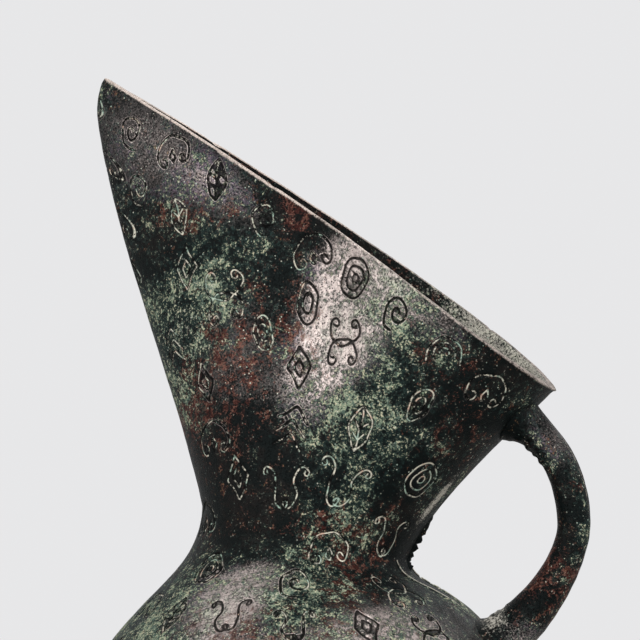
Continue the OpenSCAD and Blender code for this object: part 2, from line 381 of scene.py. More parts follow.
def motif_lines(motif: Motif) -> list[Array]:
    """The lines of a motif in a box 1 high and about 1 wide, centred on 0.

    Args:
        motif: Which figure.

    Returns:
        Open lines as rows of points.
    """
    if motif is Motif.ROUND_SPIRAL:
        turn = np.linspace(0, 1.75 * TURN, 90)
        r = 0.04 + 0.46 * turn / turn[-1]
        return [r[:, None] * circle(turn)]
    if motif is Motif.LEAF:
        rise = np.linspace(-0.5, 0.5, 24)
        veins = [np.array([[0, at], [side, at + 0.12]]) for at in (-0.24, 0.0) for side in (-0.15, 0.15)]
        return [np.stack([bow * (1 - 4 * rise**2), rise], -1) for bow in (-0.3, 0.0, 0.3)] + veins
    if motif is Motif.OVALS:
        oval = circle(np.linspace(0, TURN, 50)) * [0.62, 1]
        return [0.48 * oval, 0.24 * oval]
    if motif is Motif.ROSETTE:
        turn = np.linspace(0, TURN, 70)
        petals = (0.28 + 0.09 * np.cos(5 * turn))[:, None] * circle(turn)
        stem = np.array([[0.02, -0.14], [-0.05, -0.3], [0.0, -0.42], [0.12, -0.5]])
        leaf = np.array([[-0.03, -0.34], [-0.14, -0.3], [-0.25, -0.36]])
        return [petals + [0, 0.16], 0.09 * circle(turn[::9]) + [0, 0.16], stem, leaf]
    if motif is Motif.HORNS:
        lozenge = np.array([[0, 0.16], [0.11, 0], [0, -0.16], [-0.11, 0], [0, 0.16]])
        return [1.2 * scroll(False) * [1, -1], lozenge - [0, 0.16]]
    if motif is Motif.BUTTERFLY:
        arch = 1.1 * scroll(False)
        return [arch + [0, 0.25], arch * [1, -1] - [0, 0.25]]
    if motif is Motif.RING:
        ring = circle(np.linspace(0, TURN, 40))
        return [0.44 * ring, 0.27 * ring, 0.1 * ring[::4]]
    if motif is Motif.LOZENGE:
        lozenge = np.array([[0, 0.5], [0.36, 0], [0, -0.5], [-0.36, 0], [0, 0.5]])
        return [lozenge, 0.42 * lozenge]
    if motif is Motif.SCALES:
        arc = circle(np.linspace(0, math.pi, 24)) - [0, 0.45]
        return [arc * [r, r * 1.15] for r in (0.5, 0.31, 0.13)]
    if motif is Motif.LYRE:
        curl = scroll(True)[:, ::-1]
        return [curl * [side, 1.0] + [side * 0.3, 0.0] for side in (-1.0, 1.0)]
    arm = np.array([[-0.42, -0.16], [0, 0.16], [0.42, -0.16]])
    return [arm + [0, rise] for rise in (-0.3, 0.0, 0.3)]


def resampled(line: Array, step: float) -> Array:
    """A line cut into equal lengths of about one step, by its arc length."""
    run = run_along(line)
    at = np.linspace(0, run[-1], max(2, int(round(run[-1] / step)) + 1))
    return np.stack([np.interp(at, run, line[:, axis]) for axis in (0, 1)], -1)


def gap_to_lines(points: Array, lines: list[Array]) -> Array:
    """Distance from each point to the nearest of some lines, by its foot on every segment.

    Args:
        points: Plane points in rows.
        lines: Lines as rows of points.

    Returns:
        One distance for each point.
    """
    starts = np.concatenate([line[:-1] for line in lines])
    runs = np.concatenate([np.diff(line, axis=0) for line in lines])
    away = points[:, None, :] - starts[None, :, :]
    share = np.clip((away * runs).sum(-1) / np.maximum((runs**2).sum(-1), 1e-12), 0, 1)
    return np.linalg.norm(away - share[..., None] * runs, axis=-1).min(1)


@dataclass
class Stamp:
    """One motif placed on the skin, and the plane of its own that touches the skin at its middle.

    The skin is taken into that plane by the turn from the motif's middle and by the run up the wall.
    """

    angle: float
    climb: float
    to_plane: Array
    climbs: Array
    runs: Array
    lines: list[Array]
    half_w: float
    depth: float
    reach: float

    def in_plane(self, angle: Array, climb: Array) -> Array:
        """Skin places as points of the motif's plane, in millimetres."""
        turn = (angle - self.angle + math.pi) % TURN - math.pi
        return np.stack([turn, np.interp(climb, self.climbs, self.runs)], -1) @ self.to_plane.T

    def on_skin(self, points: Array) -> tuple[Array, Array]:
        """Points of the motif's plane as angles and climbs."""
        places = points @ np.linalg.inv(self.to_plane).T
        return self.angle + places[:, 0], np.interp(places[:, 1], self.runs, self.climbs)


@dataclass
class Ornament:
    """Motifs in loose columns that follow the wall from the rim down to the belly's widest line."""

    form: VesselForm
    column_step: float = 18.0
    row_step: float = 17.5
    first_row: float = 10.5
    least_gap: float = 15.4
    motif_h: tuple[float, float] = (10.8, 13.4)
    motif_w: float = 0.82
    stroke_half_w: tuple[float, float] = (0.34, 0.46)
    stroke_depth: float = 0.46
    unsteady: float = 0.22
    rows: int = 26
    row_shift: float = 1.6
    tilt: float = 0.1
    lowest_climb: float = 1.06
    root_room: float = 15.0
    seed: int = 11
    shares: tuple[int, ...] = (3, 4, 3, 2, 3, 2, 3, 3, 2, 3, 2)
    stamps: list[Stamp] = field(default_factory=list)

    def column_angles(self, climb: float) -> Array:
        """Angles that split the ring at a climb into equal lengths of about one column step."""
        fine = np.linspace(0, TURN, 1441)
        ring = self.form.skin(fine, climb)
        run = run_along(ring)
        count = int(round(run[-1] / self.column_step))
        return np.interp((np.arange(count) + 0.5) / count * run[-1], run, fine)

    def place(self, barred: list[Array]) -> None:
        """Puts down every stamp that has room, rows nearest the rim first.

        Args:
            barred: Points in millimetres that the ornament keeps clear of.
        """
        rng = np.random.default_rng(self.seed)
        taken: list[Array] = []
        odds = np.array(self.shares) / sum(self.shares)
        starts = ((RIM, self.column_angles(RIM - 0.1)), (WAIST - 0.15, self.column_angles(SHOULDER + 0.2)))
        for row in range(self.rows):
            for start, angles in starts:
                for angle in angles:
                    drop = self.first_row + row * self.row_step + rng.uniform(-self.row_shift, self.row_shift)
                    tilt = rng.normal(0, self.tilt)
                    size = rng.uniform(*self.motif_h)
                    kind = list(Motif)[rng.choice(len(Motif), p=odds)]
                    half_w = rng.uniform(*self.stroke_half_w)
                    climb = self.climb_below(angle, start, drop)
                    if climb < self.lowest_climb:
                        continue
                    point = self.form.skin(angle, climb)
                    clear = all(np.linalg.norm(point - p) > self.least_gap for p in taken)
                    if clear and all(np.linalg.norm(point - p) > self.root_room for p in barred):
                        taken.append(point)
                        self.stamps.append(self.stamp(angle, climb, tilt, size, kind, half_w))

    def climb_below(self, angle: float, start: float, drop: float) -> float:
        """Climb at a distance down the wall from a starting climb, by arc length; 0 if it ends first."""
        climbs = np.linspace(start, WIDEST, 400)
        return float(np.interp(drop, run_along(self.form.skin(angle, climbs)), climbs, right=0.0))

    def stamp(
        self, angle: float, climb: float, tilt: float, size: float, kind: Motif, half_w: float
    ) -> Stamp:
        """One motif, turned by a small tilt, with its plane's second axis up the wall."""
        round_, upward = self.form.slopes(np.array([angle]), np.array([climb]))
        up = unit_rows(upward)[0]
        normal = unit_rows(np.cross(round_, upward))[0]
        along = np.cross(up, normal)
        to_plane = np.array([[round_[0] @ along, 0.0], [round_[0] @ up, 1.0]])
        climbs = np.linspace(max(0.2, climb - 0.6), min(RIM, climb + 0.6), 241)
        runs = run_along(self.form.skin(angle, climbs))
        runs -= np.interp(climb, climbs, runs)
        lines = [(line * [size * self.motif_w, size]) @ spin(tilt) for line in motif_lines(kind)]
        lines = [self.hand_cut(resampled(line, 0.5), angle + climb) for line in lines]
        reach = max(np.linalg.norm(line, axis=1).max() for line in lines)
        return Stamp(angle, climb, to_plane, climbs, runs, lines, half_w, self.stroke_depth, reach)

    def hand_cut(self, line: Array, shift: float) -> Array:
        """A line that wanders a little, by slow waves of its own coordinates."""
        return line + self.unsteady * np.sin(line[:, ::-1] * [0.9, 1.15] + [37 * shift, 53 * shift])

    def points(self, step: float) -> tuple[Array, Array]:
        """Places for vertices along every stroke: rows on its middle, its slopes and its edges.

        A row is the line moved sideways by its offset. Points of a row that lie inside another stroke
        are dropped, and so are all but one in each small cell.

        Args:
            step: Distance between places along a stroke.

        Returns:
            Angles and climbs.
        """
        shares = np.array([-1.0, -0.5, 0.0, 0.5, 1.0])
        cell = 0.17
        angles, climbs = [], []
        for stamp in self.stamps:
            fine = [resampled(line, step) for line in stamp.lines]
            kept = []
            for line in fine:
                way = unit_rows(np.gradient(line, axis=0) + 1e-12)
                side = np.stack([-way[:, 1], way[:, 0]], -1)
                rows = np.concatenate([line + side * stamp.half_w * share for share in shares])
                offset = stamp.half_w * np.repeat(np.abs(shares), len(line))
                kept.append(rows[gap_to_lines(rows, fine) > offset - 0.05])
            points = np.concatenate(kept)
            cells = np.round(points / cell).astype(int)
            points = points[np.unique(cells, axis=0, return_index=True)[1]]
            angle, climb = stamp.on_skin(points)
            angles.append(angle)
            climbs.append(climb)
        return np.concatenate(angles), np.concatenate(climbs)

    def measure(self, angle: Array, climb: Array) -> tuple[Array, Array]:
        """Distance to the nearest stroke in millimetres, and how deep the strokes are cut there.

        The cut is deepest on the stroke's middle and falls as (1 - (gap / half width)^2)^1.5.

        Args:
            angle: Angles of the places.
            climb: Climbs of the places.

        Returns:
            Gaps, capped at FAR, and depths.
        """
        gap, depth = np.full(angle.shape, FAR), np.zeros(angle.shape)
        for stamp in self.stamps:
            near = np.flatnonzero(np.abs(climb - stamp.climb) < 0.5)
            plane = stamp.in_plane(angle[near], climb[near])
            close = np.linalg.norm(plane, axis=1) < stamp.reach + FAR
            near, plane = near[close], plane[close]
            here = gap_to_lines(plane, stamp.lines)
            cut = stamp.depth * np.maximum(0, 1 - (here / stamp.half_w) ** 2) ** 1.5
            gap[near] = np.minimum(gap[near], here)
            depth[near] = np.maximum(depth[near], cut)
        return gap, depth


@dataclass
class MouldSeams:
    """Two low ridges that start beside the waist and run together above the handle's lower root."""

    form: VesselForm
    half_w: float = 0.8
    height: float = 0.5
    spread_deg: float = 15.5
    meet_deg: float = 1.5
    stop: float = 0.12
    bend: float = 0.75

    def angle_at(self, t: Array) -> Array:
        """Angle of the ridge up the neck: from the meeting to the spread by a power of the climb."""
        share = np.clip((t - self.stop) / (1 - self.stop), 0, 1)
        return np.radians(self.meet_deg + (self.spread_deg - self.meet_deg) * share**self.bend)

    def points(self, step: float) -> tuple[Array, Array]:
        """Places for vertices: seven rows along each ridge, about one step apart on its 30 mm."""
        t = np.linspace(self.stop, 1.0, int(30 / step))
        r = np.linalg.norm(self.form.neck(self.angle_at(t), t, np.zeros_like(t))[:, :2], axis=1)
        shares = np.linspace(-1.5, 1.5, 7)
        one = np.concatenate([self.angle_at(t) + share * self.half_w / r for share in shares])
        return np.concatenate([one, TURN - one]), np.tile(t + SHOULDER, 2 * len(shares))

    def measure(self, angle: Array, climb: Array) -> tuple[Array, Array]:
        """Distance from the nearest ridge, and the ridge's height there: a soft tent that fades out."""
        t = climb - SHOULDER
        folded = np.abs((angle + math.pi) % TURN - math.pi)
        r = np.linalg.norm(self.form.neck(folded, np.clip(t, 0, 1), np.zeros_like(t))[..., :2], axis=-1)
        gap = np.where((t > self.stop) & (t < 1), np.abs(folded - self.angle_at(t)) * r, FAR)
        fade = np.clip(0.1 + 8 * np.minimum(t - self.stop, 1 - t), 0, 1)
        return np.minimum(gap, FAR), self.height * fade * np.maximum(0, 1 - gap / self.half_w)


@dataclass
class CastingFlash:
    """Ragged crest left by the casting inside the loop, just above the waist, darkened by painted shade."""

    form: VesselForm
    around_deg: float = 4.0
    span: tuple[float, float] = (2.78, 3.27)
    half_w: float = 1.2
    height: float = 2.0

    def points(self, step: float) -> tuple[Array, Array]:
        """Places for vertices: five rows up the crest, about one step apart on its 20 mm."""
        climb = np.linspace(*self.span, int(20 / step))
        at = self.form.skin(0.0, climb)
        r = np.hypot(at[:, 0], at[:, 1])
        shares = np.linspace(-1.0, 1.0, 5)
        rows = [math.radians(self.around_deg) + share * self.half_w / r for share in shares]
        return np.concatenate(rows) % TURN, np.tile(climb, len(rows))

    def measure(self, angle: Array, climb: Array) -> Array:
        """Height of the crest: a tent across it, with teeth along it from two waves of the height."""
        folded = (angle + math.pi) % TURN - math.pi
        at = self.form.skin(folded, climb)
        across = np.abs(folded - math.radians(self.around_deg)) * np.hypot(at[..., 0], at[..., 1])
        teeth = 0.3 + 0.7 * np.abs(np.sin(1.15 * at[..., 2])) * (0.6 + 0.4 * np.sin(2.9 * at[..., 2]))
        low, high = self.span
        window = smooth_step(low, low + 0.12, climb) * (1 - smooth_step(high - 0.08, high, climb))
        return self.height * teeth * window * np.maximum(0, 1 - across / self.half_w)


def ripples(points: Array, longest: float, shortest: float, seed: int) -> Array:
    """Uneven swell of a hand-made surface: a mean of sines in many directions.

    Args:
        points: Points with the coordinates last, in millimetres.
        longest: Longest wave.
        shortest: Shortest wave.
        seed: Picks the waves.

    Returns:
        Values from about -1 to 1.
    """
    rng = np.random.default_rng(seed)
    waves = unit_rows(rng.normal(size=(14, 3))) * (TURN / rng.uniform(shortest, longest, (14, 1)))
    return np.sin(points @ waves.T + rng.uniform(0, TURN, 14)).mean(-1) * 2.2


def dents(points: Array, longest: float, shortest: float, seed: int) -> Array:
    """Ripples that only go inwards, from about 0 to -1."""
    return (ripples(points, longest, shortest, seed) - 1) / 2


def triangulated(angle: Array, climb: Array, width: float, heights: tuple[float, ...]) -> Array:
    """Triangles of scattered skin places, from the Delaunay mesh of the unrolled skin.

    Args:
        angle: Angles of the places, which cover 0 to a full turn.
        climb: Climbs of the places.
        width: Radius at which the skin is unrolled.
        heights: Unrolled height of the climbs 0, 1, 2, 3 and 4.

    Returns:
        Rows of three places, anticlockwise seen from outside.
    """
    flat = np.stack([angle * width, np.interp(climb, np.arange(5), heights)], -1)
    _, _, faces, sources, _, _ = delaunay_2d_cdt(list(map(Vector, flat.tolist())), [], [], 0, 1e-4, True)
    first = np.array([source[0] for source in sources])
    return first[np.array(faces)]


def walls(rings: Array) -> Array:
    """Triangles between closed rings of places, given in rows."""
    a, b = rings[:-1], rings[1:]
    a2, b2 = np.roll(a, -1, axis=1), np.roll(b, -1, axis=1)
    return np.concatenate([np.stack(three, -1).reshape(-1, 3) for three in ((a, a2, b), (a2, b2, b))])


def fan(ring: Array, middle: int, flipped: bool) -> Array:
    """Triangles from a closed ring of places to the place in its middle."""
    found = np.stack([ring, np.roll(ring, -1), np.full(len(ring), middle)], -1)
    return found[:, ::-1] if flipped else found


def make_piece(name: str, points: Array, triangles: Array, values: dict[str, Array]) -> bpy.types.Object:
    """A smooth mesh object at the origin from points in millimetres.

    Args:
        name: Name of the piece.
        points: Points in rows.
        triangles: Rows of three point numbers.
        values: Numbers for each point, stored as attributes.

    Returns:
        The object, linked to the scene.
    """
    mesh = bpy.data.meshes.new(name)
    mesh.from_pydata((points * MM).tolist(), [], triangles.tolist())
    for key, numbers in values.items():
        mesh.attributes.new(key, "FLOAT", "POINT").data.foreach_set("value", numbers.astype(np.float32))
    mesh.shade_smooth()
    piece = bpy.data.objects.new(name, mesh)
    bpy.context.scene.collection.objects.link(piece)
    return piece


def finish_piece(piece: bpy.types.Object, node: str, material: bpy.types.Material) -> None:
    """Gives a piece its finish and its place in the frame, and reports it.

    Args:
        piece: The piece.
        node: CAD node that it stands for.
        material: Its finish.
    """
    piece.data.materials.append(material)
    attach(piece, ROOT)
    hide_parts(node)
    log.info("%s: %d triangles", piece.name, len(piece.data.polygons))


@dataclass(frozen=True)
class Blotch:
    """A soft oval place on the patina, seen square on to the flank.

    Its place and size are along the flank and up it, in millimetres, and it is turned by some degrees.
    """

    along: float
    up: float
    half_l: float
    half_h: float
    turn_deg: float = 0.0
    strength: float = 1.0

    def weigh(self, along: Array, up: Array) -> Array:
        """A bell of the distance from the middle, each axis measured in its own half size."""
        c, s = math.cos(math.radians(self.turn_deg)), math.sin(math.radians(self.turn_deg))
        x, y = along - self.along, up - self.up
        far = ((c * x + s * y) / self.half_l) ** 2 + ((c * y - s * x) / self.half_h) ** 2
        return self.strength * np.exp(-(far**1.5))


@dataclass(frozen=True)
class PatinaMap:
    """Where the bronze is rubbed bright with painted highlight, crusted green, stained red or darkened by
    painted shade.
    """

    flank_yaw_deg: float = 14.5
    # Sheen: rubbed metal with painted highlight on the beak, the bulge beside the crease and the shoulders.
    sheen: tuple[Blotch, ...] = (
        Blotch(-44, 303, 30, 15, -35, 0.56),
        Blotch(-22, 288, 16, 8, -35, 0.3),
        Blotch(17, 265, 16, 13, -35, 0.95),
        Blotch(12, 250, 14, 17, 0, 1.05),
        Blotch(2, 232, 12, 17, -10, 0.8),
        Blotch(36, 250, 12, 8, -35, 0.6),
        Blotch(-19, 172, 18, 9, 25, 1.1),
        Blotch(22, 159, 17, 11, -20, 0.95),
        Blotch(-2, 153, 44, 12, 0, 0.95),
        Blotch(40, 163, 20, 9, 0, 0.3),
        Blotch(62, 160, 10, 6, 0, 0.5),
        Blotch(-22, 236, 12, 26, 0, 0.5),
        Blotch(41, 222, 12, 14, 0, 0.34),
    )
    crust: tuple[Blotch, ...] = (
        Blotch(-36, 248, 15, 34, -20, 0.75),
        Blotch(26, 256, 15, 13, -30, 0.95),
        Blotch(16, 224, 26, 20, 0, 0.55),
        Blotch(8, 200, 20, 18, 0, 0.25),
        Blotch(-6, 180, 30, 10, 0, 0.5),
        Blotch(-6, 162, 60, 12, 0, 0.4),
        Blotch(-3, 168, 7, 15, 0, 0.8),
        Blotch(6, 193, 9, 12, 0, 0.7),
        Blotch(-50, 160, 16, 13, 0, 0.7),
        Blotch(-8, 150, 9, 8, 0, 0.3),
        Blotch(-15, 211, 1.4, 7, 0, 1.0),
    )
    stain: tuple[Blotch, ...] = (
        Blotch(-3, 283, 5, 9, 20, 1.0),
        Blotch(-20, 238, 14, 26, 0, 0.9),
        Blotch(42, 218, 10, 12, 0, 0.55),
        Blotch(12, 172, 8, 7, 0, 0.8),
        Blotch(-8, 170, 8, 5, 0, 0.7),
        Blotch(40, 240, 12, 6, -30, 0.7),
        Blotch(-34, 228, 6, 12, 0, 0.9),
        Blotch(-34, 284, 14, 6, 0, 0.8),
        Blotch(10, 186, 14, 12, 0, 0.9),
        Blotch(-2, 250, 6, 16, 0, 0.7),
        Blotch(0, 162, 24, 6, 0, 0.7),
        Blotch(-26, 163, 14, 7, 0, 0.6),
        Blotch(4, 152, 30, 7, 0, 0.5),
    )
    pale: tuple[Blotch, ...] = (
        Blotch(-36, 246, 10, 22, -20, 0.25),
        Blotch(-4, 156, 44, 8, 0, 0.3),
        Blotch(38, 198, 11, 1.0, 51, 0.85),
        Blotch(25, 262, 11, 8, -35, 0.55),
        Blotch(11, 246, 12, 12, 0, 0.5),
        Blotch(-22, 168, 14, 6, 20, 0.5),
    )
    # Painted shade: darker in the crease where the beak meets the bowl, on the neck, the beak's flank and the
    # flank by the handle.
    gloom: tuple[Blotch, ...] = (
        Blotch(-2, 284, 9, 13, 30, 1.0),
        Blotch(-20, 203, 27, 24, 0, 1.1),
        Blotch(42, 222, 12, 16, 30, 0.5),
        Blotch(56, 236, 10, 8, 0, 0.8),
        Blotch(28, 190, 8, 14, 0, 0.9),
        Blotch(-44, 276, 8, 10, 0, 0.5),
    )

    def values(self, points: Array, within: Array, below_rim: Array) -> dict[str, Array]:
        """Weight of each kind of patina at each point; the far flank mirrors the near one.

        Inside the vessel the wall gets painted shade but for a pale crust and sheen under the rim in the low
        corner.

        Args:
            points: Points in rows.
            within: Which of them are on the inner skin.
            below_rim: How far each is under the rim, in millimetres.

        Returns:
            Weights from 0 to 1 by the name of the patina.
        """
        yaw = math.radians(self.flank_yaw_deg)
        along = points[:, 0] * math.cos(yaw) - np.abs(points[:, 1]) * math.sin(yaw)
        found = {}
        for key in KINDS:
            total = sum(blotch.weigh(along, points[:, 2]) for blotch in getattr(self, key))
            found[key] = np.clip(total, 0, 1)
        uneven = below_rim + 7 * ripples(points, 22, 5, 41)
        corner = smooth_step(12, 52, points[:, 0] + 6 * ripples(points, 18, 5, 42))
        corner = corner * (1 - smooth_step(8, 26, uneven))
        # Inside: painted shade, with a pale crust and sheen in the low corner under the rim.
        inner = dict(sheen=0.5 * corner, crust=corner, stain=0.3, pale=0.8 * corner, gloom=1 - corner)
        return {key: np.where(within, inner[key], found[key]) for key in found}


def plain_patina(**weights: Array) -> dict[str, Array]:
    """Patina weights of a piece without ornament; the kinds that aren't named have none."""
    none = 0 * next(iter(weights.values()))
    plain = {key: none for key in (*KINDS, "lip")}
    return {**plain, "stroke": none + FAR, "seam": none + FAR, **weights}


@dataclass
class Skin:
    """Places of one skin of the casting, with their points in millimetres and their triangles."""

    angle: Array
    climb: Array
    points: Array
    triangles: Array

    def ring(self, climb: float) -> Array:
        """Numbers of the places at a climb in order round the axis, without the one at the full turn."""
        places = np.flatnonzero((self.climb == climb) & (self.angle < TURN))
        return places[np.argsort(self.angle[places])]


@dataclass
class VesselCasting:
    """Belly, neck and beaked mouth in one closed skin with its ornament cut in."""

    form: VesselForm
    ornament: Ornament
    seams: MouldSeams
    flash: CastingFlash
    patina: PatinaMap
    mouth_step: float = 1.2
    belly_step: float = 1.6
    under_step: float = 3.6
    inner_step: float = 2.4
    stroke_step: float = 0.64
    row_share: float = 0.87
    stroke_clear: float = 0.72
    seam_clear: float = 1.7
    unroll_r: float = 50.0
    unroll_z: tuple[float, ...] = (0.0, 97.0, 150.0, 183.0, 278.0)
    lip_rings: int = 7
    lip_reach: float = 2.5
    swell: float = 0.28
    grain: float = 0.05
    inner_swell: float = 0.2
    pole_climb: float = 0.05
    mouth_h: float = 90.0
    calm_h: float = 5.0

    def rings(
        self, bands: list[tuple[float, float, float]], inset: float = 0.0, rim: Array | None = None
    ) -> tuple[Array, Array, Array]:
        """Places on rings up a skin, about one step apart both ways.

        Each ring is split by arc length, every other ring by half a step sideways. Where rings crowd,
        as at the low corner of the mouth, only every second or fourth keeps its places there.

        Args:
            bands: Lowest climb, highest climb and step of each band, upwards.
            inset: Distance inwards from the outer skin.
            rim: Angles of the topmost ring, or None to split it by arc length.

        Returns:
            Angles, climbs, and the number of the ring of each place.
        """
        fine = np.linspace(0, TURN, 1081)
        angles, climbs, numbers = [], [], []
        for low, high, step in bands:
            reach = run_along(self.form.skin(math.pi, np.linspace(low, high, 200), inset))[-1]
            count = max(2, int(round(reach / (step * self.row_share))))
            for k in range(count + (high >= RIM)):
                climb = low + (high - low) * k / count
                run = run_along(self.form.skin(fine, climb, inset))
                parts = max(24, int(round(run[-1] / step)))
                inner = (np.arange(1, parts) - 0.5 * (k % 2)) / parts * run[-1]
                turned = np.concatenate([[0], np.interp(inner, run, fine), [TURN]])
                top = high >= RIM and k == count
                if top and rim is not None:
                    turned = rim
                above = self.form.skin(turned, min(climb + (high - low) / count, RIM), inset)
                rise = np.linalg.norm(above - self.form.skin(turned, climb, inset), axis=1)
                stride = 2 ** np.clip(np.ceil(np.log2(0.7 * step / np.maximum(rise, 1e-6))), 0, 2)
                keep = ((count - k) % stride == 0) | top | (not numbers)
                angles.append(turned[keep])
                climbs.append(np.full(keep.sum(), climb))
                numbers.append(np.full(keep.sum(), len(numbers)))
        return np.concatenate(angles), np.concatenate(climbs), np.concatenate(numbers)

    def outer_places(self) -> tuple[Array, Array]:
        """Angles and climbs of the outer skin's places, finer along every stroke, seam and flash."""
        bands = [
            (self.pole_climb, WIDEST, self.under_step),
            (WIDEST, SHOULDER, self.belly_step),
            (SHOULDER, WAIST, self.mouth_step),
            (WAIST, RIM, self.mouth_step),
        ]
        angle, climb, number = self.rings(bands)
        gap, _ = self.ornament.measure(angle, climb)
        seam_gap, _ = self.seams.measure(angle, climb)
        crest = self.flash.measure(angle, climb)
        edge = (number == 0) | (number == number.max()) | (angle == 0) | (angle == TURN)
        keep = edge | ((gap > self.stroke_clear) & (seam_gap > self.seam_clear) & (crest == 0))
        added = [part.points(self.stroke_step) for part in (self.ornament, self.seams, self.flash)]
        angle = np.concatenate([angle[keep]] + [more[0] % TURN for more in added])
        return angle, np.concatenate([climb[keep]] + [more[1] for more in added])

    def inner_places(self, rim: Array) -> tuple[Array, Array]:
        """Angles and climbs of the inner skin's places, which are fewer, under a given rim."""
        bands = [
            (self.pole_climb, WIDEST, 2 * self.inner_step),
            (WIDEST, WAIST, 1.6 * self.inner_step),
            (WAIST, RIM, self.inner_step),
        ]
        angle, climb, _ = self.rings(bands, self.form.wall, rim)
        return angle, climb

    def rim_wear(self, angle: Array) -> Array:
        """How far the lip is worn down round the rim: slow waves and three small nicks."""
        waves = 0.09 * (1 + np.sin(7 * angle + 0.6)) + 0.05 * (1 + np.sin(23 * angle))
        nicks = ((0.86, 0.012, 0.7), (4.55, 0.02, 0.4), (2.2, 0.02, 0.5))
        return waves + sum(deep * bell(angle, at, wide) for at, wide, deep in nicks)

    def lowered(self, angle: Array, climb: Array) -> Array:
        """How far a skin is lowered: towards the rounded lip near the rim, and by the wear on it.

        The first is the squared share of the wall's last millimetres.
        """
        high = np.linalg.norm(self.form.skin(angle, RIM) - self.form.skin(angle, WAIST), axis=-1)
        share = np.maximum(0, 1 - (RIM - climb) * high / self.lip_reach)
        return self.form.lip_round * share**2 + self.rim_wear(angle) * (climb > RIM - 1e-4)

    def meshed(self, angle: Array, climb: Array) -> Array:
        """Triangles of a skin's places, with each one at the full turn swapped for the one at angle 0."""
        start, end = np.flatnonzero(angle == 0), np.flatnonzero(angle == TURN)
        swap = np.arange(len(angle))
        swap[end[np.argsort(climb[end])]] = start[np.argsort(climb[start])]
        return swap[triangulated(angle, climb, self.unroll_r, self.unroll_z)]

    def skin(self, angle: Array, climb: Array, inset: float, uneven: Array, relief: Any = 0.0) -> Skin:
        """A skin moved along its normals by its unevenness, which calms near the rim, and its relief.

        Args:
            angle: Angles of its places.
            climb: Climbs of its places.
            inset: Distance inwards from the outer skin.
            uneven: Unevenness of each place.
            relief: Height of ornament and seams at each place.

        Returns:
            The skin, whose triangles face the air.
        """
        calm = smooth_step(0, self.calm_h, (RIM - climb) * self.mouth_h)
        points = self.form.skin(angle, climb, inset)
        points += self.form.normals(angle, climb, inset) * (uneven * calm + relief)[:, None]
        points[:, 2] -= self.lowered(angle, climb)
        triangles = self.meshed(angle, climb)
        return Skin(angle, climb, points, triangles[:, ::-1] if inset else triangles)

    def lip(self, angle: Array) -> Array:
        """Rings of points over the lip, on half an oval from the outer to the inner skin."""
        turn = np.linspace(0, math.pi, self.lip_rings)[1:-1, None]
        points = self.form.skin(angle, RIM, self.form.wall / 2 * (1 - np.cos(turn)))
        points[..., 2] -= self.form.lip_round * (1 - np.sin(turn)) + self.rim_wear(angle)
        return points

    def build(self, material: bpy.types.Material) -> bpy.types.Object:
        """Joins the outer skin, the lip and the inner skin into one closed piece.

        Args:
            material: Patina of the body.

        Returns:
            The piece.
        """
        angle, climb = self.outer_places()
        gap, depth = self.ornament.measure(angle, climb)
        seam_gap, ridge = self.seams.measure(angle, climb)
        crest = self.flash.measure(angle, climb)
        plain = self.form.skin(angle, climb)
        uneven = self.swell * dents(plain, 46, 16, 3) + self.grain * ripples(plain, 7, 3.4, 5)
        outer = self.skin(angle, climb, 0.0, uneven, ridge + crest - depth)
        rim = outer.ring(RIM)
        lip = self.lip(outer.angle[rim])

        angle, climb = self.inner_places(np.append(outer.angle[rim], TURN))
        plain = self.form.skin(angle, climb, self.form.wall)
        inner = self.skin(angle, climb, self.form.wall, self.inner_swell * ripples(plain, 40, 12, 8))

        first_lip = len(outer.points)
        lip_places = first_lip + np.arange(lip[..., 0].size).reshape(lip.shape[:2])
        first_inner = first_lip + lip_places.size
        ladder = np.vstack([rim, lip_places, first_inner + inner.ring(RIM)])
        points = np.concatenate([outer.points, lip.reshape(-1, 3), inner.points])
        bottoms = [outer.ring(self.pole_climb), first_inner + inner.ring(self.pole_climb)]
        fans = [fan(bottoms[0], len(points), True), fan(bottoms[1], len(points) + 1, False)]
        points = np.concatenate([points, *(points[ring].mean(0, keepdims=True) for ring in bottoms)])
        faces = np.concatenate([outer.triangles, walls(ladder), first_inner + inner.triangles, *fans])

        number = np.arange(len(points))
        within = (number >= first_inner) & (number != len(points) - 2)
        values = self.patina.values(points, within, self.form.rim_height(points[:, 0]) - points[:, 2])
        beyond = np.zeros(len(points) - first_lip)
        # The crest inside the loop gets full painted shade and loses its crust.
        black = smooth_step(0, 0.5, np.append(crest, beyond))
        values["gloom"] = np.maximum(values["gloom"], black)
        values["crust"] = values["crust"] * (1 - black)
        # The worn lip, paler towards the beak: partly wear, partly painted highlight.
        worn = ((number >= first_lip) & (number < first_inner)).astype(float)
        worn[rim] = 0.85
        worn *= 1 - 0.4 * smooth_step(-5, 20, points[:, 0])
        stroke, seam = np.append(gap, beyond + FAR), np.append(seam_gap, beyond + FAR)
        values.update(stroke=stroke, seam=seam, lip=worn)
        piece = make_piece("vessel_casting", points, faces, values)
        drop_loose_points(piece)
        finish_piece(piece, "vessel_body", material)
        return piece


def drop_loose_points(piece: bpy.types.Object) -> None:
    """Removes the points that no triangle uses."""
    mesh = bmesh.new()
    mesh.from_mesh(piece.data)
    bmesh.ops.delete(mesh, geom=[v for v in mesh.verts if not v.link_faces], context="VERTS")
    mesh.to_mesh(piece.data)
    mesh.free()


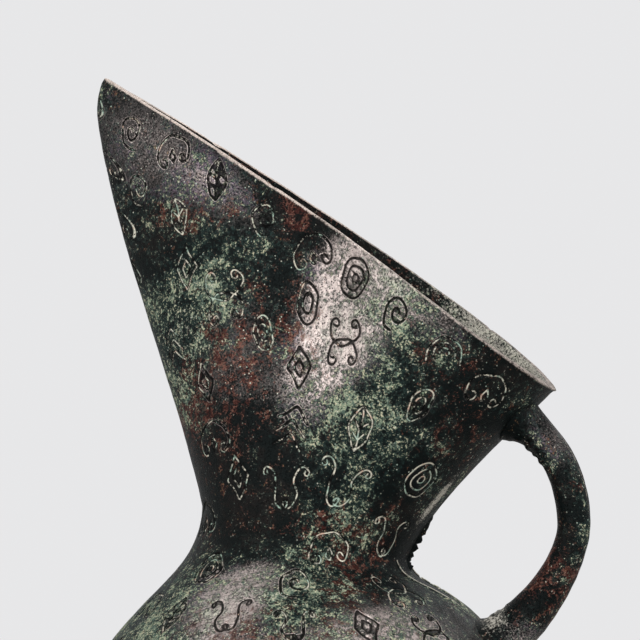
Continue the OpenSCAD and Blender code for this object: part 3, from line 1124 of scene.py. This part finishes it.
def tube(name: str, rings: Array, values: dict[str, Array]) -> bpy.types.Object:
    """A closed piece from rings of points, capped with a fan at both ends.

    Args:
        name: Name of the piece.
        rings: Rings, points and coordinates, in this order.
        values: Numbers for every point of every ring, stored as attributes.

    Returns:
        The object.
    """
    count, sides, _ = rings.shape
    place = np.arange(count * sides).reshape(count, sides)
    ends = [fan(place[0], count * sides, True), fan(place[-1], count * sides + 1, False)]
    points = np.concatenate([rings.reshape(-1, 3), rings[:1].mean(1), rings[-1:].mean(1)])
    whole = {key: np.concatenate([v.ravel(), v[:1].mean(1), v[-1:].mean(1)]) for key, v in values.items()}
    return make_piece(name, points, np.concatenate([walls(place), *ends]), whole)


def section_angles(sides: int) -> Array:
    """Angles round a section with some sides, clockwise from 0."""
    return -np.arange(sides) / sides * TURN


def halved(outside: Array, inside: Array, is_out: Callable[[Array], Array]) -> Array:
    """Where lines cross a surface, by halving the gap between a place outside it and one inside.

    Args:
        outside: A place outside on every line.
        inside: A place inside on every line.
        is_out: Says which places are outside.

    Returns:
        The crossings.
    """
    for _ in range(30):
        half = (outside + inside) / 2
        free = is_out(half)
        outside, inside = np.where(free, half, outside), np.where(free, inside, half)
    return (outside + inside) / 2


@dataclass
class LoopHandle:
    """Cast bar bent from just under the rim's low corner to the shoulder, with swelling roots."""

    form: VesselForm
    standoff: float = 5.5
    thick: float = 9.9
    wide: float = 11.6
    upper_flare: float = 1.2
    lower_flare: float = 1.53
    upper_at: float = 0.805
    lower_deg: float = 36.5
    dip_deg: float = 29.0
    apex_share: float = 0.54
    leads: tuple[float, float, float] = (0.23, 0.12, 0.305)
    flare_lens: tuple[float, float] = (0.27, 0.9)
    sides: int = 72
    rings: int = 190
    sunk: float = 0.7
    fillet: float = 0.24
    fillet_len: float = 3.2
    ring_pull: float = 0.11
    dent: float = 0.22
    grain: float = 0.05
    ragged: float = 0.9

    def upper_root(self) -> Array:
        """Middle of the upper root on the wall, as x and z."""
        return self.form.mouth(np.array(0.0), np.array(self.upper_at), np.array(0.0))[[0, 2]]

    def lower_root(self) -> Array:
        """Middle of the lower root on the ball, as x and z."""
        lift = math.radians(self.lower_deg)
        return np.array([0, self.form.belly_z]) + self.form.belly_r * circle(lift)

    def middle(self, t: Array) -> Array:
        """Middle line: two cubics that meet at the outermost place, and straight on past both ends.

        Args:
            t: 0 at the upper root, 1 at the outermost place, 2 at the lower root.

        Returns:
            Points as x and z.
        """
        upper, lower = self.upper_root(), self.lower_root()
        high = upper[1] - lower[1]
        dip, lift = math.radians(self.dip_deg), math.radians(self.lower_deg)
        first = upper + self.leads[0] * high * circle(-dip)
        apex = np.array([self.form.corner_reach + self.standoff, lower[1] + self.apex_share * high])
        rise = np.array([0, self.leads[1] * high])
        last = lower + self.leads[2] * high * circle(lift)
        u = np.clip(t, 0, 2)[..., None]
        above, below = cubic(upper, first, apex + rise, apex, u), cubic(apex, apex - rise, last, lower, u - 1)
        before, after = np.minimum(t, 0)[..., None], np.maximum(t - 2, 0)[..., None]
        return np.where(u < 1, above, below) + 3 * (first - upper) * before + 3 * (lower - last) * after

    def swell(self, t: Array) -> Array:
        """Swell of the section: squared falls from both roots over their own lengths."""
        ends = (np.clip(t, 0, 2) / self.flare_lens[0], (2 - np.clip(t, 0, 2)) / self.flare_lens[1])
        flares = (self.upper_flare, self.lower_flare)
        falls = [1 + (flare - 1) * np.maximum(0, 1 - end) ** 2 for flare, end in zip(flares, ends)]
        return np.where(t < 1, falls[0], falls[1])

    def surface(self, t: Array, q: Array, grow: Any = 1.0) -> Array:
        """The bar: an oval carried along the middle line, square to it.

        Args:
            t: Place along the bar.
            q: Angle round the section, 0 on its outer side.
            grow: Factor on the section.

        Returns:
            Points with the coordinates last.
        """
        step = 1e-3
        centre = self.middle(t)
        way = unit_rows(self.middle(t + step) - self.middle(t - step))
        across = np.stack([-way[..., 1], way[..., 0]], -1)
        u = self.swell(t) * self.thick / 2 * np.cos(q) * grow
        w = self.swell(t) * self.wide / 2 * np.sin(q) * grow
        return np.stack([centre[..., 0] + across[..., 0] * u, w, centre[..., 1] + across[..., 1] * u], -1)

    def meets_wall(self, q: Array, outside: float, inside: float) -> Array:
        """Where each long line of the bar goes into the wall, a little below its skin."""
        return halved(
            np.full_like(q, outside),
            np.full_like(q, inside),
            lambda t: self.form.clearance(self.surface(t, q)) > -self.sunk,
        )

    def patina(self, t: Array, q: Array) -> dict[str, Array]:
        """Patina of the bar: rubbed top with painted highlight, crusted outer side, painted shade inside the
        loop.

        Args:
            t: Place along the bar.
            q: Angle round the section.

        Returns:
            Weights by the name of the patina.
        """
        outer = np.cos(q)
        facing = np.maximum(np.cos(q + 0.9), np.cos(q - 0.9))
        edge = bell(np.abs((q + math.pi) % TURN - math.pi), 0.22, 0.09)
        # Sheen, partly painted highlight, is most on the sides facing out; painted shade darkens the loop's
        # inner side.
        # The pale edge line near the top is partly wear and partly painted highlight.
        return plain_patina(
            sheen=0.3 * bell(t, 0.26, 0.2) * smooth_step(0.2, 0.9, facing) + 0.5 * bell(t, 1.87, 0.12)
            + 0.22 * smooth_step(0.1, 0.8, facing),
            crust=0.05 + 0.95 * bell(t, 0.95, 0.36) * smooth_step(0, 0.9, outer) + 0.4 * bell(t, 1.9, 0.12),
            pale=0.65 * bell(t, 1.9, 0.1) * smooth_step(-0.3, 0.8, -outer),
            stain=0.9 * bell(t, 1.5, 0.22) + 0.6 * bell(t, 0.62, 0.1) * smooth_step(0, 1, outer),
            gloom=(0.6 - 0.4 * outer) * (1 - bell(t, 0.3, 0.25)),
            lip=0.5 * edge * smooth_step(0.15, 0.35, t) * (1 - smooth_step(0.8, 1.05, t)),
        )

    def build(self, material: bpy.types.Material) -> bpy.types.Object:
        """Carries the section from wall to wall, with a small fillet at each root.

        Args:
            material: Patina of the handle.

        Returns:
            The piece.
        """
        q = section_angles(self.sides)
        start = self.meets_wall(q, 0.5, -0.4)
        end = self.meets_wall(q, 1.5, 2.4)
        share = np.linspace(0, 1, self.rings)[:, None]
        share = share - self.ring_pull * np.sin(TURN * share)
        t = start + (end - start) * share
        speed = np.linalg.norm(self.middle(t + 1e-3) - self.middle(t - 1e-3), axis=-1) / 2e-3
        left = np.minimum(t - start, end - t) * speed
        grow = 1 + self.fillet * np.exp(-left / self.fillet_len)
        points = self.surface(t, q + 0 * t, grow)
        uneven = self.dent * dents(points, 26, 7, 21) + self.grain * ripples(points, 5, 2.5, 22)
        middle = self.middle(t)
        away = unit_rows(points - np.stack([middle[..., 0], 0 * t, middle[..., 1]], -1))
        inside = smooth_step(-0.1, 0.9, -np.cos(q)) * (bell(t, 0.22, 0.2) + 0.7 * bell(t, 1.9, 0.1))
        uneven += self.ragged * np.maximum(0, ripples(points, 4.5, 2.2, 23)) * inside
        points = points + away * (uneven * smooth_step(0, 4, left))[..., None]
        piece = tube("handle_casting", points, self.patina(t, q + 0 * t))
        finish_piece(piece, "loop_handle", material)
        return piece


@dataclass
class Leg:
    """Pre-cast leg of a soft three-sided section that tapers from the belly to a flat foot."""

    form: VesselForm
    node: str
    around_deg: float
    root_w: float = 28.0
    foot_w: float = 8.0
    depth: float = 0.74
    foot_reach: float = 61.0
    root_deg: float = 50.0
    bow: float = 4.0
    bury: float = 9.0
    taper: float = 1.35
    ridge: float = 0.12
    sides: int = 54
    rings: int = 90
    ring_pull: float = 1.15
    sunk: float = 0.7
    root_h: float = 60.0
    foot_h: float = 75.0
    fillet: float = 0.1
    fillet_len: float = 2.2
    foot_round: float = 0.14
    foot_round_len: float = 0.6
    dent: float = 0.2
    calm_h: float = 4.0

    def surface(self, t: Array, q: Array) -> Array:
        """The leg in its own plane: level rings round a bowed line, with the ridge outwards.

        Args:
            t: 0 above the root, 1 at the foot.
            q: Angle round the ring.

        Returns:
            Points with the coordinates last, before the leg is turned to its place.
        """
        lift = math.radians(self.root_deg)
        root_x = self.form.belly_r * math.cos(lift)
        top_z = self.form.belly_z - self.form.base_depth * math.sin(lift) + self.bury
        x = root_x + (self.foot_reach - root_x) * t - self.bow * np.sin(math.pi * t)
        w = (self.foot_w + (self.root_w - self.foot_w) * np.clip(1 - t, 0, 1) ** self.taper) / 2
        r = w * (1 - self.ridge / 2 + self.ridge * np.cos(3 * q))
        return np.stack([x + self.depth * r * np.cos(q), r * np.sin(q), top_z * (1 - t)], -1)

    def under_bowl(self, points: Array) -> Array:
        """Which points are under the bowl's skin, or no deeper in it than the root is sunk."""
        return points[:, 2] <= self.form.bowl_height(points[:, 0], points[:, 1]) + self.sunk

    def build(self, material: bpy.types.Material) -> bpy.types.Object:
        """Starts each long line where it leaves the bowl and carries it down to the foot.

        Args:
            material: Patina of the legs.

        Returns:
            The piece.
        """
        q = section_angles(self.sides)
        start = halved(np.full_like(q, 0.7), np.zeros_like(q), lambda t: self.under_bowl(self.surface(t, q)))
        share = np.linspace(0, 1, self.rings)[:, None] ** self.ring_pull
        t = start + (1 - start) * share
        points = self.surface(t, q + 0 * t)
        away = (points - points.mean(1, keepdims=True)) * [1, 1, 0]
        down, up = (t - start) * self.root_h, (1 - t) * self.foot_h
        grow = self.fillet * np.exp(-down / self.fillet_len)
        grow = grow - self.foot_round * np.exp(-up / self.foot_round_len)
        points = points + away * grow[..., None]
        calm = smooth_step(0, self.calm_h, down) * smooth_step(0, self.calm_h, up)
        uneven = self.dent * dents(points, 24, 8, 31) * calm
        points = points + unit_rows(away) * uneven[..., None]
        points[-1, :, 2] = 0.0
        points[..., :2] = points[..., :2] @ spin(math.radians(self.around_deg))
        # Sheen on the ridges towards the foot; painted shade darkest at the root, under the bowl.
        weights = plain_patina(
            sheen=0.1 + 0.5 * smooth_step(0.3, 1, np.cos(3 * q)) * smooth_step(0.1, 0.9, share),
            crust=0.75 - 0.6 * share,
            stain=0.4 + 0.4 * bell(share, 0.45, 0.15),
            gloom=0.5 - 0.3 * share,
        )
        piece = tube(f"{self.node}_casting", points, {key: v + 0 * t for key, v in weights.items()})
        finish_piece(piece, self.node, material)
        return piece


class Signal:
    """One output of a shader node, with the arithmetic that patterns are written in."""

    def __init__(self, shader: "Shader", socket: bpy.types.NodeSocket) -> None:
        """Wraps a socket of a shader's tree."""
        self.shader = shader
        self.socket = socket

    def _math(self, operation: str, *terms: Any) -> "Signal":
        """A Math node on one or more terms."""
        return self.shader.node("ShaderNodeMath", {"operation": operation}, dict(enumerate(terms)))

    def __add__(self, other: Any) -> "Signal":
        """This value plus another."""
        return self._math("ADD", self, other)

    __radd__ = __add__

    def __sub__(self, other: Any) -> "Signal":
        """This value less another."""
        return self._math("SUBTRACT", self, other)

    def __rsub__(self, other: Any) -> "Signal":
        """Another value less this one."""
        return self._math("SUBTRACT", other, self)

    def __mul__(self, other: Any) -> "Signal":
        """This value times another."""
        return self._math("MULTIPLY", self, other)

    __rmul__ = __mul__

    def within(self, low: float, high: float) -> "Signal":
        """A smooth rise from 0 at low to 1 at high."""
        settings = {"interpolation_type": "SMOOTHSTEP"}
        return self.shader.node("ShaderNodeMapRange", settings, {0: self, 1: low, 2: high, 3: 0.0, 4: 1.0})


class Shader:
    """A material under construction: makes nodes, links them and ends in one Principled surface."""

    def __init__(self, name: str) -> None:
        """Starts a material whose patterns read the object's own coordinates, in millimetres."""
        self.material = bpy.data.materials.new(name)
        self.material.use_nodes = True
        self.tree = self.material.node_tree
        self.tree.nodes.clear()
        place = self.node("ShaderNodeTexCoord", {}, {}, 3)
        self.place = self.node("ShaderNodeVectorMath", {"operation": "SCALE"}, {0: place, "Scale": 1 / MM})

    def node(self, kind: str, settings: dict[str, Any], inputs: dict[Any, Any], output: int = 0) -> Signal:
        """Adds a node.

        Args:
            kind: Type of the node.
            settings: Its properties, set first.
            inputs: Values, colours or signals by socket name or number.
            output: Number of the output wanted.

        Returns:
            That output.
        """
        made = self.tree.nodes.new(kind)
        for key, value in settings.items():
            setattr(made, key, value)
        for key, value in inputs.items():
            self.feed(made.inputs[key], value)
        return Signal(self, made.outputs[output])

    def feed(self, socket: bpy.types.NodeSocket, value: Any) -> None:
        """Links a signal to a socket, or sets the socket to a value."""
        if isinstance(value, Signal):
            self.tree.links.new(value.socket, socket)
        elif socket.type == "RGBA":
            socket.default_value = (*value, 1.0)
        else:
            socket.default_value = value

    def attribute(self, name: str) -> Signal:
        """A number stored on the mesh."""
        return self.node("ShaderNodeAttribute", {"attribute_name": name}, {}, 2)

    def moved(self, shift: float) -> Signal:
        """The place, moved so that two patterns don't match."""
        inputs = {0: self.place, "Location": (shift, 1.7 * shift, -0.6 * shift)}
        return self.node("ShaderNodeMapping", {}, inputs)

    def noise(
        self, size: float, detail: float, rough: float, shift: float = 0.0, warp: float = 0.0
    ) -> Signal:
        """Cloudy noise with features of a size in millimetres, 0 to 1 about 0.5."""
        inputs = {"Vector": self.moved(shift), "Scale": 1 / size, "Detail": detail, "Roughness": rough}
        return self.node("ShaderNodeTexNoise", {"noise_dimensions": "3D"}, {**inputs, "Distortion": warp})

    def spots(self, size: float, shift: float = 0.0) -> Signal:
        """Distance from the nearest of scattered points about one size apart, in sizes."""
        inputs = {"Vector": self.moved(shift), "Scale": 1 / size}
        return self.node("ShaderNodeTexVoronoi", {"feature": "F1"}, inputs)

    def mix(self, first: Any, second: Any, share: Any) -> Signal:
        """A colour between two, by a share of the second."""
        return self.node("ShaderNodeMix", {"data_type": "RGBA"}, {0: share, 6: first, 7: second}, 2)

    def bump(self, height: Signal, distance: float, strength: float = 1.0) -> Signal:
        """Normals bent as if the surface rose by a height, 1 being the distance in millimetres."""
        inputs = {"Strength": strength, "Distance": distance * MM, "Height": height}
        return self.node("ShaderNodeBump", {}, inputs)

    def surface(self, **inputs: Any) -> bpy.types.Material:
        """Ends the material in a Principled surface with these inputs, underscores read as spaces."""
        named = {key.replace("_", " "): value for key, value in inputs.items()}
        shaded = self.node("ShaderNodeBsdfPrincipled", {}, named)
        out = self.tree.nodes.new("ShaderNodeOutputMaterial")
        self.tree.links.new(shaded.socket, out.inputs["Surface"])
        return self.material


@dataclass(frozen=True)
class Patina:
    """Finish of old cast bronze: near-black ground, rubbed sheen, green crust, red stain, cut strokes."""

    name: str
    ground_dark: Colour = (0.0025, 0.0045, 0.0045)
    ground_brown: Colour = (0.009, 0.0075, 0.007)
    rubbed: Colour = (0.086, 0.075, 0.072)
    rubbed_highlight: Colour = (0.60, 0.51, 0.475)
    crust_deep: Colour = (0.020, 0.041, 0.037)
    crust_teal: Colour = (0.078, 0.116, 0.094)
    crust_mint: Colour = (0.245, 0.305, 0.212)
    crust_cream: Colour = (0.52, 0.48, 0.335)
    mauve: Colour = (0.150, 0.108, 0.148)
    red: Colour = (0.048, 0.013, 0.010)
    red_light: Colour = (0.158, 0.068, 0.050)
    ochre: Colour = (0.17, 0.115, 0.055)
    chalk: Colour = (0.66, 0.62, 0.54)
    fill_pale: Colour = (0.78, 0.74, 0.62)
    fill_mint: Colour = (0.46, 0.60, 0.50)
    fill_peach: Colour = (0.74, 0.53, 0.42)
    black: Colour = (0.004, 0.004, 0.004)
    lip: Colour = (0.62, 0.52, 0.46)

    def build(self) -> bpy.types.Material:
        """Builds the material.

        Returns:
            The material.
        """
        s = Shader(self.name)
        clouds = s.noise(19, 3, 0.55, 3.0, warp=0.6)
        patches = s.noise(5.5, 5, 0.62, 17.0, warp=0.5)
        stains = s.noise(4.2, 5, 0.66, 131.0, warp=0.8)
        specks = s.noise(1.05, 5, 0.7, 41.0)
        flecks = s.noise(0.75, 4, 0.68, 97.0)
        grit = s.noise(0.5, 4, 0.62, 73.0)
        tints = s.noise(1.7, 4, 0.6, 57.0)

        sheen_map, crust_map, stain_map, pale_map, gloom_map = map(s.attribute, KINDS)
        stroke, seam, lip = map(s.attribute, ("stroke", "seam", "lip"))

        # Dark ground, and metal rubbed bare over it, with painted highlight, held back by painted shade.
        brown = (patches + (clouds - 0.5) * 0.8).within(0.4, 0.68)
        ground = s.mix(self.ground_dark, self.ground_brown, brown)
        lift = sheen_map * 0.85 + (patches - 0.5) * 0.7 + (specks - 0.5) * 0.5 + (grit - 0.5) * 1.0
        # Rubbed metal: partly wear, partly painted highlight by the sheen weight, less under painted shade.
        rubbed = (lift - gloom_map * 0.6).within(0.08, 0.66)
        dull = s.mix(self.rubbed, self.mauve, (clouds * 0.6 + patches * 0.4).within(0.48, 0.6))
        # The pale metal is a painted highlight where the sheen weight is high.
        bare = (sheen_map * 0.8 + (flecks - 0.5) * 0.8 + (grit - 0.5) * 0.8 + 0.45).within(0.85, 1.35)
        metal = s.mix(dull, self.rubbed_highlight, bare)
        colour = s.mix(ground, metal, rubbed)

        # Thin crust, red stain and thick crust, each over the last.
        density = (clouds - 0.5) * 0.4 + (patches - 0.5) * 0.55 + crust_map * 0.135 - gloom_map * 0.1
        thin = (specks * 0.6 + tints * 0.4 + density).within(0.46, 0.62)
        colour = s.mix(colour, self.crust_deep, thin * (0.75 - gloom_map * 0.5))
        fine = (flecks - 0.5) * 0.7 + (grit - 0.5) * 0.6
        red = (stains + fine * 0.8 + stain_map * 0.2 + (clouds - 0.5) * 0.2).within(0.62, 0.76)
        reds = s.mix(self.red, self.red_light, (tints + fine * 0.6).within(0.46, 0.62))
        colour = s.mix(colour, reds, red * 0.85)
        thick = (specks * 0.55 + flecks * 0.45 + density + (grit - 0.5) * 0.3).within(0.585, 0.655)
        green = s.mix(self.crust_teal, self.crust_mint, tints.within(0.4, 0.58))
        green = s.mix(green, self.crust_cream, (grit + (tints - 0.5) * 0.4).within(0.54, 0.64))
        colour = s.mix(colour, green, thick)

        # Ochre spots, a chalky film, pale grains painted as glints, fewer under painted shade, and black
        # pits.
        spot = (stains * 0.4 + flecks * 0.6 - crust_map * 0.05).within(0.59, 0.66)
        colour = s.mix(colour, self.ochre, spot * 0.6)
        film = (pale_map * 0.55 + fine * 1.3 + (patches - 0.5) * 0.6).within(0.2, 0.5)
        colour = s.mix(colour, self.chalk, film * 0.8)
        glint = (1 - s.spots(1.25, 61.0).within(0.1, 0.24)) * (tints * 0.6 + stains * 0.4).within(0.49, 0.57)
        glint = glint * (0.85 - gloom_map * 0.6)
        colour = s.mix(colour, s.mix(self.fill_mint, self.fill_pale, specks.within(0.45, 0.55)), glint)
        pits = 1 - (grit * 0.6 + flecks * 0.4).within(0.39, 0.46)
        colour = s.mix(colour, self.black, pits * 0.75)

        height = grit * 0.5 + flecks * 0.5 + thick * 0.6 - pits * 0.4
        rough = 0.5 - rubbed * 0.13 + thick * 0.28 + (grit - 0.5) * 0.3
        metallic = rubbed * (1 - thick) * (1 - thin * 0.5) * (1 - film) * 0.9

        # Cut strokes with painted highlight on their edges, painted shade in the cuts and pale filling,
        # the seams' crests and the worn lip, partly painted highlight.
        # Painted highlight along the edges of the cuts where the sheen is.
        painted_edge_highlight = stroke.within(0.42, 0.5) * (1 - stroke.within(0.54, 0.7)) * sheen_map.within(0.2, 0.7)
        colour = s.mix(colour, self.rubbed_highlight, painted_edge_highlight * flecks.within(0.38, 0.54))
        # Painted shade in each cut.
        colour = s.mix(colour, self.black, (1 - stroke.within(0.3, 0.5)) * 0.92)
        deep = 1 - stroke.within(0.1, 0.33)
        kept = flecks * 0.6 + (tints - 0.5) * 0.8 + (stains - 0.5) * 0.9
        kept = (kept - sheen_map * 0.3 - gloom_map * 0.07).within(0.13, 0.3)
        fill = s.mix(self.fill_pale, self.fill_mint, patches.within(0.47, 0.6))
        colour = s.mix(colour, s.mix(fill, self.fill_peach, stains.within(0.56, 0.64)), deep * kept)
        crest = (1 - seam.within(0.0, 0.45)) * flecks.within(0.3, 0.5)
        colour = s.mix(colour, self.fill_pale, crest * 0.8)
        # The lip's pale colour is partly wear and partly painted highlight.
        uneven = (flecks * 0.6 + tints * 0.4 + (lip - 0.6) * 0.2).within(0.4, 0.54)
        worn = lip.within(0.1, 0.9) * (0.1 + 0.9 * uneven)
        colour = s.mix(colour, self.lip, worn)
        return s.surface(
            Base_Color=colour,
            Metallic=metallic * (1 - deep) * (1 - worn * 0.6),
            Roughness=rough,
            Specular_IOR_Level=0.06,
            Normal=s.bump(height * (1 - deep * 0.5), 0.34),
        )


@dataclass(frozen=True)
class HammeredBronze:
    """Finish of the rivets: brown bronze with dull green in its dents."""

    name: str = "hammered_bronze"
    bare: Colour = (0.20, 0.145, 0.10)
    dull: Colour = (0.05, 0.07, 0.055)

    def build(self) -> bpy.types.Material:
        """Builds the material.

        Returns:
            The material.
        """
        s = Shader(self.name)
        dents, grit = s.noise(2.2, 3, 0.5, 5.0), s.noise(0.6, 3, 0.6, 9.0)
        colour = s.mix(self.bare, self.dull, (dents + (grit - 0.5) * 0.4).within(0.42, 0.62))
        return s.surface(
            Base_Color=colour,
            Metallic=0.7 - dents.within(0.42, 0.62) * 0.6,
            Roughness=0.42 + (grit - 0.5) * 0.3,
            Normal=s.bump(dents + grit * 0.3, 0.25),
        )


@dataclass(frozen=True)
class Studio:
    """Pale floor, two soft lamps beside the camera, a pale background and the camera itself."""

    yaw_deg: float = 14.5
    rise_deg: float = -4.2
    distance: float = 0.74
    target: tuple[float, float, float] = (0.0045, 0.0, 0.2524)
    px_mm: float = 0.30
    image_px: int = 640
    sensor: float = 36.0
    lamp_target: tuple[float, float, float] = (0.0, 0.0, 0.2)
    floor_half: float = 1.1
    floor_tone: Colour = (0.72, 0.71, 0.69)
    backdrop: Colour = (0.80, 0.80, 0.81)
    ambient: float = 0.3

    def toward(self, turn_deg: float, rise_deg: float) -> Vector:
        """Direction from the object at an angle from the camera's own azimuth."""
        a, e = math.radians(self.yaw_deg + turn_deg), math.radians(rise_deg)
        return Vector((math.sin(a) * math.cos(e), -math.cos(a) * math.cos(e), math.sin(e)))

    def aim(self, thing: bpy.types.Object, place: Vector, at: Vector) -> None:
        """Puts a lamp or camera at a place and points it."""
        thing.location = place
        thing.rotation_euler = (place - at).to_track_quat("Z", "Y").to_euler()
        bpy.context.scene.collection.objects.link(thing)

    def camera(self) -> None:
        """The camera at the photograph's viewing angle; its lens follows from the scale in its frame."""
        data = bpy.data.cameras.new("camera")
        data.sensor_width = self.sensor
        data.lens = self.distance / (self.px_mm * MM) / self.image_px * self.sensor
        data.clip_start, data.clip_end = 0.05, 20.0
        camera = bpy.data.objects.new("camera", data)
        target = Vector(self.target)
        self.aim(camera, target + self.toward(0, self.rise_deg) * self.distance, target)
        bpy.context.scene.camera = camera

    def lamp(self, name: str, place: tuple[float, float, float], size: float, power: float) -> None:
        """A soft square lamp aimed at the vessel, from a turn and a rise in degrees and a distance."""
        turn_deg, rise_deg, far = place
        data = bpy.data.lights.new(name, "AREA")
        data.shape, data.size, data.energy = "SQUARE", size, power
        target = Vector(self.lamp_target)
        self.aim(bpy.data.objects.new(name, data), target + self.toward(turn_deg, rise_deg) * far, target)

    def world(self) -> None:
        """An even dim world that shows as the pale backdrop to the camera, to gloss and through glass."""
        world = bpy.data.worlds.new("studio")
        bpy.context.scene.world = world
        world.use_nodes = True
        tree = world.node_tree
        tree.nodes.clear()
        rays = tree.nodes.new("ShaderNodeLightPath")
        seen = rays.outputs["Is Camera Ray"]
        for kind in ("Is Glossy Ray", "Is Transmission Ray"):
            either = tree.nodes.new("ShaderNodeMath")
            either.operation = "MAXIMUM"
            tree.links.new(seen, either.inputs[0])
            tree.links.new(rays.outputs[kind], either.inputs[1])
            seen = either.outputs[0]
        mixed = tree.nodes.new("ShaderNodeMixShader")
        for number, strength in ((1, self.ambient), (2, 1.0)):
            tone = tree.nodes.new("ShaderNodeBackground")
            tone.inputs["Color"].default_value = (*self.backdrop, 1.0)
            tone.inputs["Strength"].default_value = strength
            tree.links.new(tone.outputs[0], mixed.inputs[number])
        tree.links.new(seen, mixed.inputs[0])
        out = tree.nodes.new("ShaderNodeOutputWorld")
        tree.links.new(mixed.outputs[0], out.inputs["Surface"])

    def floor(self) -> None:
        """A wide pale square at the feet, with a slight grain in its tone."""
        square = np.array([[-1, -1, 0], [1, -1, 0], [1, 1, 0], [-1, 1, 0]]) * self.floor_half / MM
        floor = make_piece("floor", square, np.array([[0, 1, 2], [0, 2, 3]]), {})
        s = Shader("pale_floor")
        tone = s.mix(self.floor_tone, tuple(0.96 * c for c in self.floor_tone), s.noise(60, 2, 0.5))
        floor.data.materials.append(s.surface(Base_Color=tone, Roughness=0.7))

    def build(self) -> None:
        """Sets up the whole studio."""
        self.camera()
        self.lamp("left_lamp", (-38, 24, 1.0), 0.5, 5.5)
        self.lamp("right_lamp", (36, 30, 1.0), 0.5, 6.0)
        self.lamp("rear_lamp", (165, 50, 1.3), 0.6, 6.0)
        self.world()
        self.floor()
        bpy.context.scene.view_settings.view_transform = "Standard"


def main() -> None:
    """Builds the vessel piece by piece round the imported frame."""
    logging.basicConfig(level=logging.INFO, format="%(name)s: %(message)s")
    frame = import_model()
    Studio().build()

    form = VesselForm()
    handle = LoopHandle(form)
    upper, lower = handle.upper_root(), handle.lower_root()
    ornament = Ornament(form)
    ornament.place([np.array([upper[0], 0, upper[1]]), np.array([lower[0], 0, lower[1]])])
    log.info("ornament: %d motifs", len(ornament.stamps))

    body_finish = Patina("body_patina").build()
    VesselCasting(form, ornament, MouldSeams(form), CastingFlash(form), PatinaMap()).build(body_finish)
    handle.build(Patina("handle_patina").build())
    leg_finish = Patina("leg_patina").build()
    for node, around in (("handle_side_leg", 0), ("far_beak_leg", 120), ("near_beak_leg", 240)):
        Leg(form, node, around).build(leg_finish)

    rivets = HammeredBronze().build()
    for node in ("upper_handle_rivet", "lower_handle_rivet", "leg_rivets"):
        piece = frame["nodes"][node]
        piece.data.materials.clear()
        piece.data.materials.append(rivets)
        log.info("%s: packed node with its finish", node)


if __name__ == "__main__":
    main()
